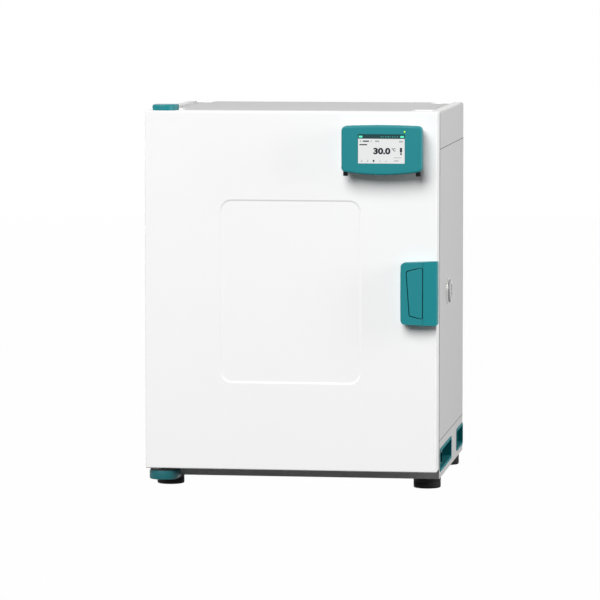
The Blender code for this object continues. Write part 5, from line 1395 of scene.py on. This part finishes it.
@dataclass
class DisplayPage(Assembly):
    """What the display shows: a dark header, the chamber's temperature and small plain marks.

    Every patch is a pair of spans, across and up, in shares of the display's width and height. A
    row holds its height, how tall its marks are and their spans across, in the same shares.
    """

    layer: float = 0.06 * MM
    plate_share: float = 0.8
    corner: float = 1.2 * MM
    button_corner: float = 1.6 * MM
    mark_corner: float = 0.4 * MM
    hairline: float = 0.01 * MM
    page: Patch = ((0.0, 1.0), (0.0, 0.87))
    header: Patch = ((0.0, 1.0), (0.855, 1.0))
    buttons: tuple[Patch, ...] = (
        ((0.015, 0.095), (0.890, 0.960)),
        ((0.905, 0.985), (0.890, 0.960)),
    )
    header_marks: tuple[float, ...] = (0.022, 0.012, 0.018, 0.026, 0.010, 0.020, 0.014, 0.018)
    header_start: float = 0.49
    header_pitch: float = 0.049
    header_rise: Span = (0.905, 0.945)
    figures_place: Point2 = (0.328, 0.318)
    figures_size: Point2 = (0.366, 0.225)
    figures_weight: float = 0.050
    unit_place: Point2 = (0.722, 0.425)
    unit_size: Point2 = (0.082, 0.110)
    unit_weight: float = 0.030
    gauge: tuple[Patch, ...] = (
        ((0.897, 0.945), (0.385, 0.545)),
        ((0.903, 0.939), (0.300, 0.365)),
    )
    rows: tuple[tuple[float, float, tuple[Span, ...]], ...] = (
        (0.745, 0.050, ((0.035, 0.065), (0.100, 0.235), (0.270, 0.290), (0.365, 0.455))),
        (0.735, 0.050, ((0.880, 0.960),)),
        (0.190, 0.020, ((0.760, 0.930),)),
        (0.100, 0.025, ((0.070, 0.085), (0.200, 0.215), (0.330, 0.345), (0.455, 0.470))),
        (0.060, 0.030, ((0.055, 0.098), (0.190, 0.222), (0.470, 0.492), (0.585, 0.615))),
        (0.075, 0.035, ((0.770, 0.870),)),
    )
    titles: tuple[Patch, ...] = (
        ((0.030, 0.195), (0.628, 0.668)),
        ((0.318, 0.352), (0.055, 0.125)),
        ((0.100, 0.235), (0.752, 0.788)),
    )

    def build(self) -> None:
        """Builds the page and what is drawn on it."""
        self.measure("display_module")
        self.lay("display_page", PAGE_FILM, 1, self.corner, [self.page])
        self.lay("display_header", HEADER_FILM, 2, self.corner, [self.header])
        self.lay("display_buttons", PILL_FILM, 3, self.button_corner, self.buttons)
        dots = []
        for index, width in enumerate(self.header_marks):
            start = self.header_start + self.header_pitch * index
            dots.append(((start, start + width), self.header_rise))
        self.lay("display_header_marks", CYAN_FILM, 3, self.mark_corner, dots)
        figures = (self.figures_place, self.figures_size, self.figures_weight)
        self.write("display_figures", "30.0", *figures)
        unit = (self.unit_place, self.unit_size, self.unit_weight)
        self.write("display_unit", "\N{DEGREE SIGN}C", *unit)
        self.lay("display_gauge", INK_FILM, 2, self.corner, self.gauge)
        marks = [
            (across, (height, height + tall)) for height, tall, spans in self.rows for across in spans
        ]
        self.lay("display_marks", MARK_FILM, 2, self.mark_corner, marks)
        self.lay("display_titles", INK_FILM, 3, self.mark_corner, self.titles)

    def lay(
        self,
        name: str,
        finish: LitFilm,
        level: int,
        radius: float,
        patches: Iterable[Patch],
    ) -> None:
        """Lays thin patches on the display as one piece.

        Args:
            name: The piece's name.
            finish: Its finish.
            level: How many layers it stands above the glass.
            radius: The patches' corner radius.
            patches: Their spans across and up.
        """
        size = self.high - self.low
        front = self.low.y - self.layer * level
        form = Form()
        for across, up in patches:
            u_span = tuple(self.low.x + size.x * share for share in across)
            v_span = tuple(self.low.z + size.z * share for share in up)
            least = min(u_span[1] - u_span[0], v_span[1] - v_span[0]) / 2 - self.hairline
            outline = rectangle(u_span, v_span, min(radius, least), steps=4)
            form.prism(outline, (front, front + self.layer * self.plate_share))
        self.fit(form.finish(name), "door", "screen", finish)

    def write(self, name: str, text: str, corner: Point2, size: Point2, weight: float) -> None:
        """Sets characters on the page.

        Args:
            name: The piece's name.
            text: The characters.
            corner: Their lower left corner, in shares of the display's width and height.
            size: Their width and height, in the same shares.
            weight: How far the strokes grow, as a share of the type size.
        """
        whole = self.high - self.low
        across, up = corner
        layers = self.layer * 2
        place = self.low + Vector((across * whole.x, -layers, up * whole.z))
        figures = lettering(name, text, place, (size[0] * whole.x, size[1] * whole.z), weight)
        self.fit(figures, "door", "screen", INK_FILM)


@dataclass
class HingeCaps(Assembly):
    """The moulded caps over the outer door's hinges."""

    edge: float = 2.2 * MM
    upper_edge: float = 0.8 * MM
    wall: float = 2.0 * MM
    flange: float = 4.0 * MM
    steps: int = 40

    def build(self) -> None:
        """Dresses the hinges and builds the caps."""
        # The black coat also paints the door's shadow on the lower bracket.
        self.dress(BLACKED_STEEL_AND_SHADE, "hinge_bracket_top", "hinge_bracket_bottom")
        self.build_upper()
        self.build_lower()

    def plan(self, margin: float) -> Outline:
        """The measured cap's plan: a round front and straight sides.

        Args:
            margin: How far it is drawn in.

        Returns:
            The outline.
        """
        reach = (self.high.x - self.low.x) / 2 - margin
        centre = middle(self.low.x, self.high.x)
        points: Outline = []
        for step in range(self.steps + 1):
            turn = math.pi + math.pi * step / self.steps
            along = self.low.y + margin + reach + reach * math.sin(turn)
            points.append((centre + reach * math.cos(turn), along))
        back = self.high.y - margin
        return [*points, (centre + reach, back), (centre - reach, back)]

    def build_upper(self) -> None:
        """Builds the upper cap, open below over the door and hollow over the bracket."""
        self.measure("hinge_cover_top")
        sections = [(self.plan(0.0), self.low.z)]
        for margin, depth in quarter_round(self.edge, steps=5):
            sections.append((self.plan(margin), self.high.z - depth))
        cap = Form(Facing.Z).loft(sections).finish("hinge_cap_top")
        door_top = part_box("door_outer_shell")[1].z
        panel_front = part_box("side_panel_left")[0].y
        bracket_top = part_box("hinge_bracket_top")[1].z
        sweep = Form().bar(
            (self.low.x - MM, self.high.x + MM),
            (self.low.y - MM, panel_front),
            (self.low.z - MM, door_top + 2 * HAIR),
        )
        hollow = self.plan(self.wall - HAIR)
        pocket = Form(Facing.Z).prism(hollow, (self.low.z - MM, bracket_top + HAIR))
        carve(cap, sweep.finish("sweep"), pocket.finish("pocket"))
        shade(cap, smooth=35.0)
        self.fit(cap, "cabinet", "teal_plastic", TEAL, "hinge_cover_top")

    def build_lower(self) -> None:
        """Builds the lower cap with its tail under the base, in a darker teal that paints the shade on
        it.
        """
        self.measure("hinge_cover_bottom")
        lower = [(margin, self.low.z + depth) for margin, depth in quarter_round(self.edge, steps=5)]
        rims = quarter_round(self.upper_edge, steps=3)
        upper = [(margin, self.high.z - depth) for margin, depth in rims]
        sections = [(self.plan(margin), height) for margin, height in (*reversed(lower), *upper)]
        cap = Form(Facing.Z).loft(sections).finish("hinge_cap_bottom")
        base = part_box("base_pan")[0]
        wall_face = base.y - HAIR
        above = Form().bar(
            (self.low.x - MM, self.high.x + MM),
            (wall_face, self.high.y + MM),
            (base.z - HAIR, self.high.z + MM),
        )
        pocket = Form().bar(
            inset((self.low.x, self.high.x), self.wall - HAIR),
            (wall_face - self.flange - HAIR, wall_face + MM),
            (base.z + 2 * HAIR, self.high.z + MM),
        )
        carve(cap, above.finish("above"), pocket.finish("pocket"))
        shade(cap, smooth=35.0)
        # The darker teal paints the shade that falls on this cap under the door.
        self.fit(cap, "cabinet", "teal_plastic", DEEP_TEAL_AND_PAINTED_SHADE, "hinge_cover_bottom")


# The cabinet


@dataclass
class CabinetShell(Assembly):
    """The painted cabinet panels, its feet, seam beads, top trim and screws.

    The small profiles are pairs in millimetres, except where they hold shares of the piece's size.
    The dark seam beads paint the shade in the seams, and the pale seat rings and top strips paint
    highlights on the top.
    """

    foot_sides: int = 64
    foot_top: tuple[Point2, ...] = ((0.60, 0.0), (0.90, 0.0), (0.96, 1.0), (1.0, 3.0))
    foot_groove: tuple[Point2, ...] = ((0.0, 0.52), (0.8, 0.48), (0.0, 0.44))
    foot_rim: tuple[Point2, ...] = ((0.0, 3.5), (0.4, 1.2), (1.5, 0.0))
    foot_pad: tuple[Point2, ...] = ((0.70, 0.0), (0.66, 3.0), (0.20, 3.0))
    seam_shade_bead: float = 0.8 * MM
    seam_stand: float = 0.2 * MM
    seam_shift: float = 0.4 * MM
    seam_root: float = 0.4
    seam_steps: int = 8
    bead_rise: float = 1.2 * MM
    seat_depth: float = 5.0 * MM
    seat_margin: float = 2.0 * MM
    seat_radius: float = 12.0 * MM
    ring_lip: float = 1.2 * MM
    ring_slope: float = 0.5 * MM
    ring_wall: float = 0.9 * MM
    edge_radius: float = 3.2 * MM
    strip_width: float = 20.0 * MM
    strip_ends: Span = (3.0 * MM, 16.0 * MM)
    strip_edge: tuple[Point2, ...] = ((0.0, 0.1), (0.3, 0.7), (1.0, 0.9))
    screw_rows: int = 5
    screw_columns: int = 4
    screw_ends: float = 30.0 * MM
    screw_inset: float = 12.0 * MM
    screw_radius: float = 3.6 * MM
    screw_head: tuple[Point2, ...] = (
        (1.0, -0.2), (1.0, 0.5), (0.86, 1.1), (0.55, 1.5), (0.30, 1.6), (0.26, 0.7)
    )

    def build(self) -> None:
        """Dresses the panels and builds the feet, beads, trim and screws."""
        self.dress(CABINET_GREY, "side_panel_left", "side_panel_right", "top_cover", "rear_panel")
        self.dress(CABINET_GREY, "base_pan")
        self.dress(FOAM, "insulation")
        self.dress(BLACK_MOULDING, "mains_inlet", "switch_housing", "power_rocker")
        self.dress(ZINC, "power_supply")
        self.dress(GRIP_TEAL, *(f"grip_{corner}" for corner in CORNERS))
        self.dress(GREY_MOULDING, "vent_duct")
        self.dress(TEAL, "vent_damper")
        self.build_feet()
        self.build_seams()
        self.build_seat_highlight_rings()
        self.build_highlight_strips()
        self.build_screws()

    def build_feet(self) -> None:
        """Builds the four rubber feet with a grooved side and a dished pad."""
        for corner in CORNERS:
            node = f"foot_{corner}"
            self.measure(node)
            radius = (self.high.x - self.low.x) / 2
            height = self.high.z - self.low.z
            profile = [(radius * share, self.high.z - drop * MM) for share, drop in self.foot_top]
            for margin, share in self.foot_groove:
                profile.append((radius - margin * MM, self.low.z + height * share))
            for margin, rise in self.foot_rim:
                profile.append((radius - margin * MM, self.low.z + rise * MM))
            for share, rise in self.foot_pad:
                profile.append((radius * share, self.low.z + rise * MM))
            foot = Form(Facing.Z).turned(profile, self.centre(Facing.Z), self.foot_sides)
            self.fit(foot.finish(f"{node}_turned"), "cabinet", "rubber", BLACK_RUBBER, node)

    def seam_section(self, side: int, level: float) -> Outline:
        """A seam bead's section: rounded outside and narrower where it sits in the seam.

        Args:
            side: 1 on the right and -1 on the left.
            level: The height of its middle.

        Returns:
            The outline.
        """
        section: Outline = []
        for step in range(self.seam_steps + 1):
            angle = math.pi * step / self.seam_steps - math.pi / 2
            reach = self.high.x + self.seam_stand * math.cos(angle)
            section.append((side * reach, level + self.seam_shade_bead * math.sin(angle)))
        root = side * (self.high.x - MM)
        half = self.seam_shade_bead * self.seam_root
        return [*section, (root, level + half), (root, level - half)]

    def build_seams(self) -> None:
        """Seats a dark bead in the two seams of each side, painting the shade in the seams' gaps."""
        self.measure("side_panel_right")
        depths = inset((self.low.y, self.high.y), MM)
        for name, side in reversed(SIDES.items()):
            form = Form()
            for level in inset((self.low.z, self.high.z), -self.seam_shift):
                form.prism(self.seam_section(side, level), depths)
            beads = form.finish(f"seam_shade_beads_{name}", smooth=50.0)
            # The dark beads paint the shade of the seam gaps.
            self.fit(beads, "cabinet", "rubber", SEAM_SHADE_RUBBER)

    def build_seat_highlight_rings(self) -> None:
        """Lines the stacking seats with pale rings that paint the highlight on the seats' lit slopes.
        """
        self.measure("top_cover")
        top = self.high.z - self.bead_rise
        floor = top - self.seat_depth + HAIR
        profile = (
            (0.0, floor),
            (0.0, top + 0.5 * HAIR),
            (-self.ring_lip, top + 0.5 * HAIR),
            (-self.ring_lip, top + 2.0 * HAIR),
            (self.ring_slope, top + 2.0 * HAIR),
            (self.ring_wall, top),
            (self.ring_wall, floor),
        )
        for corner, side in CORNERS.items():
            self.measure(f"foot_{corner}")
            across, along = self.centre(Facing.Z)
            across -= side * self.seat_margin
            half = (self.high.x - self.low.x) / 2 + self.seat_margin - HAIR
            sections = []
            for margin, height in profile:
                u_span = inset((across - half, across + half), margin)
                v_span = inset((along - half, along + half), margin)
                sections.append((rectangle(u_span, v_span, self.seat_radius - margin), height))
            ring = Form(Facing.Z).loft(sections, looped=True).finish(f"seat_highlight_ring_{corner}")
            # The pale rings paint the light caught by the seats' edges.
            self.fit(ring, "cabinet", "white_plastic", PALE_MOULDING_AND_HIGHLIGHT)

    def build_highlight_strips(self) -> None:
        """Lays a pale strip with rounded edges along each side of the top, painting the highlight on
        its margin.
        """
        self.measure("top_cover")
        top = self.high.z - self.bead_rise
        outer = self.high.x - self.edge_radius
        inner = outer - self.strip_width
        section = [(outer - margin * MM, top + rise * MM) for margin, rise in self.strip_edge]
        for margin, rise in reversed(self.strip_edge):
            section.append((inner + margin * MM, top + rise * MM))
        depths = (self.low.y + self.strip_ends[0], self.high.y - self.strip_ends[1])
        for name, side in reversed(SIDES.items()):
            form = Form().prism([(side * x, z) for x, z in section], depths)
            strip = form.finish(f"top_edge_highlight_strip_{name}", smooth=50.0)
            # The pale strips paint the highlight along the top's side margins.
            self.fit(strip, "cabinet", "white_plastic", PALE_MOULDING_AND_HIGHLIGHT)

    def build_screws(self) -> None:
        """Sets pan-head screws along the rear panel's edges."""
        self.measure("rear_panel")
        bottom, top = inset((self.low.z, self.high.z), self.screw_ends)
        places = []
        for side in SIDES.values():
            for row in range(self.screw_rows):
                height = bottom + (top - bottom) * row / (self.screw_rows - 1)
                places.append((side * (self.high.x - self.screw_inset), height))
        for column in range(1, self.screw_columns):
            across = self.low.x + (self.high.x - self.low.x) * column / self.screw_columns
            for height in inset((self.low.z, self.high.z), self.screw_inset):
                places.append((across, height))
        back = self.high.y
        profile = [(self.screw_radius * share, back + rise * MM) for share, rise in self.screw_head]
        form = Form()
        for place in places:
            form.turned(profile, place, sides=20)
        self.fit(form.finish("rear_panel_screws", smooth=50.0), "cabinet", "zinc", ZINC)


@dataclass
class CablePort(Assembly):
    """The cable port's flange and its pull-out plug, with their small profiles in millimetres."""

    sides: int = 64
    bore: float = 21.2 * MM
    tube: float = 23.5 * MM
    flange_edge: tuple[Point2, ...] = ((0.0, 1.4), (0.4, 0.5), (1.4, 0.0))
    seat: float = 5.0 * MM
    stem: float = 20.2 * MM
    stem_edge: float = 2.0 * MM
    rim_edge: float = 2.2 * MM
    grip: float = 16.0 * MM
    recess: tuple[Point2, ...] = ((1.2, 0.0), (0.3, 0.4), (0.0, 1.2), (-1.0, 2.5), (-12.8, 2.5))

    def build(self) -> None:
        """Builds the flange and the plug."""
        self.measure("cable_port_sleeve")
        centre = self.centre(Facing.X)
        radius = (self.high.y - self.low.y) / 2
        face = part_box("side_panel_right")[1].x + HAIR
        profile = [(self.bore, self.low.x), (self.tube, self.low.x), (self.tube, face), (radius, face)]
        for margin, drop in self.flange_edge:
            profile.append((radius - margin * MM, self.high.x - drop * MM))
        profile.append((self.bore, self.high.x))
        sleeve = Form(Facing.X).turned(profile, centre, self.sides, looped=True)
        flange = sleeve.finish("cable_port_flange")
        self.fit(flange, "cabinet", "black_plastic", STAINLESS, "cable_port_sleeve")
        self.build_plug(centre)

    def build_plug(self, centre: Point2) -> None:
        """Builds the plug with its rolled rim and finger recess.

        Args:
            centre: The port's axis.
        """
        self.measure("port_plug")
        radius = (self.high.y - self.low.y) / 2
        seat = self.high.x - self.seat
        profile = [
            (self.stem - self.stem_edge, self.low.x),
            (self.stem, self.low.x + self.stem_edge),
            (self.stem, seat),
            (radius, seat),
        ]
        for margin, depth in quarter_round(self.rim_edge, steps=5):
            profile.append((radius - margin, self.high.x - depth))
        for grow, drop in self.recess:
            profile.append((self.grip + grow * MM, self.high.x - drop * MM))
        plug = Form(Facing.X).turned(profile, centre, self.sides)
        self.fit(plug.finish("port_plug_turned"), "plug", "grey_plastic", PLUG_MOULDING, "port_plug")


@dataclass
class Chamber(Assembly):
    """The stainless chamber with its shelves, air circulation and inner glass door."""

    def build(self) -> None:
        """Dresses all that the chamber holds."""
        self.dress(STAINLESS, "chamber_liner", "rear_baffle", "shelf_rail_left", "shelf_rail_right")
        self.dress(POLISHED_WIRE, "shelf_upper", "shelf_lower", "temperature_probe")
        self.dress(FRAME_MOULDING, "front_frame")
        self.dress(BLACK_MOULDING, "fan_impeller")
        self.dress(ZINC, "fan_motor")
        self.dress(HEATER_SHEATH, "heater_element")
        self.dress(SILICONE, "glass_seal")
        self.dress(CLEAR_GLASS, "glass_pane")
        self.dress(TEAL, "glass_knob")
        for part in ("shoe", "bracket"):
            self.dress(STAINLESS, f"glass_{part}_top", f"glass_{part}_bottom")


# The studio


def aim(obj: bpy.types.Object, place: Point3, target: Point3) -> None:
    """Puts a lamp or a camera in its place and turns it to face a point.

    Args:
        obj: The lamp or camera.
        place: Where it stands.
        target: The point that it faces.
    """
    obj.location = place
    obj.rotation_euler = (Vector(target) - Vector(place)).to_track_quat("-Z", "Y").to_euler()


@dataclass(frozen=True)
class Softbox:
    """A rectangular softbox, with its power in watts."""

    name: str
    place: Point3
    size: Span
    power: float

    def hang(self, target: Point3) -> None:
        """Hangs the softbox.

        Args:
            target: The point that it faces.
        """
        data = bpy.data.lights.new(self.name, "AREA")
        data.shape = "RECTANGLE"
        data.size, data.size_y = self.size
        data.energy = self.power
        aim(add_object(self.name, data), self.place, target)


@dataclass(frozen=True)
class Studio:
    """A plain pale floor, soft lamps and the camera at the photograph's viewing angle."""

    camera_place: Point3 = (1.26442, -9.43412, 1.24564)
    camera_target: Point3 = (-0.0189, 0.01375, 0.4085)
    lens: float = 248.26
    sensor: float = 36.0
    far_limit: float = 100.0
    lit_point: Point3 = (0.0, 0.0, 0.43)
    lamps: tuple[Softbox, ...] = (
        Softbox("key_softbox", (-3.0, -11.0, 9.0), (9.0, 9.0), 2480.0),
        Softbox("right_softbox", (4.2, -0.4, 1.6), (2.4, 2.2), 126.0),
        Softbox("rear_softbox", (-3.2, 9.0, 0.43), (3.4, 0.8), 380.0),
    )
    sky_light: float = 0.045
    floor_reach: float = 9.0
    floor_tone: float = 0.08
    floor_white: float = 0.99

    def build(self) -> None:
        """Sets the whole stage."""
        self.build_world()
        self.build_floor()
        self.build_camera()
        for lamp in self.lamps:
            lamp.hang(self.lit_point)
        bpy.context.scene.view_settings.view_transform = "Standard"

    def background_rays(self, wiring: Wiring) -> Socket:
        """A mask of the rays that show the background: seen straight, in gloss or through glass.

        Args:
            wiring: The node tree that it is for.

        Returns:
            The mask.
        """
        rays = wiring.node("ShaderNodeLightPath").outputs
        direct = wiring.maths("MAXIMUM", rays["Is Camera Ray"], rays["Is Glossy Ray"])
        return wiring.maths("MAXIMUM", direct, rays["Is Transmission Ray"])

    def build_world(self) -> None:
        """A dim even sky for light, seen as white by the camera and in reflections."""
        world = bpy.data.worlds.new("studio_sky")
        bpy.context.scene.world = world
        world.use_nodes = True
        wiring = Wiring(world.node_tree)
        sky = world.node_tree.nodes["Background"]
        level = wiring.ranged(self.background_rays(wiring), (0.0, 1.0), (self.sky_light, 1.0))
        wiring.feed(sky.inputs["Color"], WHITE)
        wiring.feed(sky.inputs["Strength"], level)

    def build_floor(self) -> None:
        """A wide pale floor that keeps the object's shadow and reads as white."""
        form = Form(Facing.Z)
        signs = ((-1, -1), (1, -1), (1, 1), (-1, 1))
        corners = [(u * self.floor_reach, v * self.floor_reach) for u, v in signs]
        form.mesh.faces.new(form.ring(corners, 0.0))
        floor = form.finish("studio_floor")
        floor.data.materials.append(self.floor_material())

    def floor_material(self) -> bpy.types.Material:
        """Matt for the object's light and nearly white for the rays that show it.

        Returns:
            The material.
        """
        material = bpy.data.materials.new("studio_floor_white")
        material.use_nodes = True
        wiring = Wiring(material.node_tree)
        material.node_tree.nodes.clear()
        matt = wiring.node("ShaderNodeBsdfDiffuse")
        white = wiring.node("ShaderNodeEmission")
        mix = wiring.node("ShaderNodeMixShader")
        end = wiring.node("ShaderNodeOutputMaterial")
        share = wiring.maths("MULTIPLY", self.background_rays(wiring), self.floor_white)
        wiring.feed(matt.inputs["Color"], (*(self.floor_tone,) * 3, 1.0))
        wiring.feed(white.inputs["Color"], WHITE)
        for slot, source in enumerate((share, matt.outputs["BSDF"], white.outputs["Emission"])):
            wiring.feed(mix.inputs[slot], source)
        wiring.feed(end.inputs["Surface"], mix.outputs["Shader"])
        return material

    def build_camera(self) -> None:
        """The camera that the photograph was taken with."""
        data = bpy.data.cameras.new("photo_camera")
        data.lens = self.lens
        data.sensor_width = self.sensor
        data.clip_end = self.far_limit
        camera = add_object("photo_camera", data)
        aim(camera, self.camera_place, self.camera_target)
        bpy.context.scene.camera = camera


def main() -> None:
    """Dresses the frame, builds the finer pieces and sets the studio."""
    logging.basicConfig(level=logging.INFO, format="%(name)s: %(message)s")
    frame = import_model()
    Studio().build()
    paints = Paintbox()
    nodes = frame["nodes"]
    assemblies = (
        CabinetShell,
        Chamber,
        DoorSkin,
        DoorGasket,
        LatchHandle,
        ControllerPod,
        HingeCaps,
        CablePort,
    )
    for assembly in assemblies:
        assembly(paints, nodes).build()
        LOG.info("built %s", assembly.__name__)


if __name__ == "__main__":
    main()
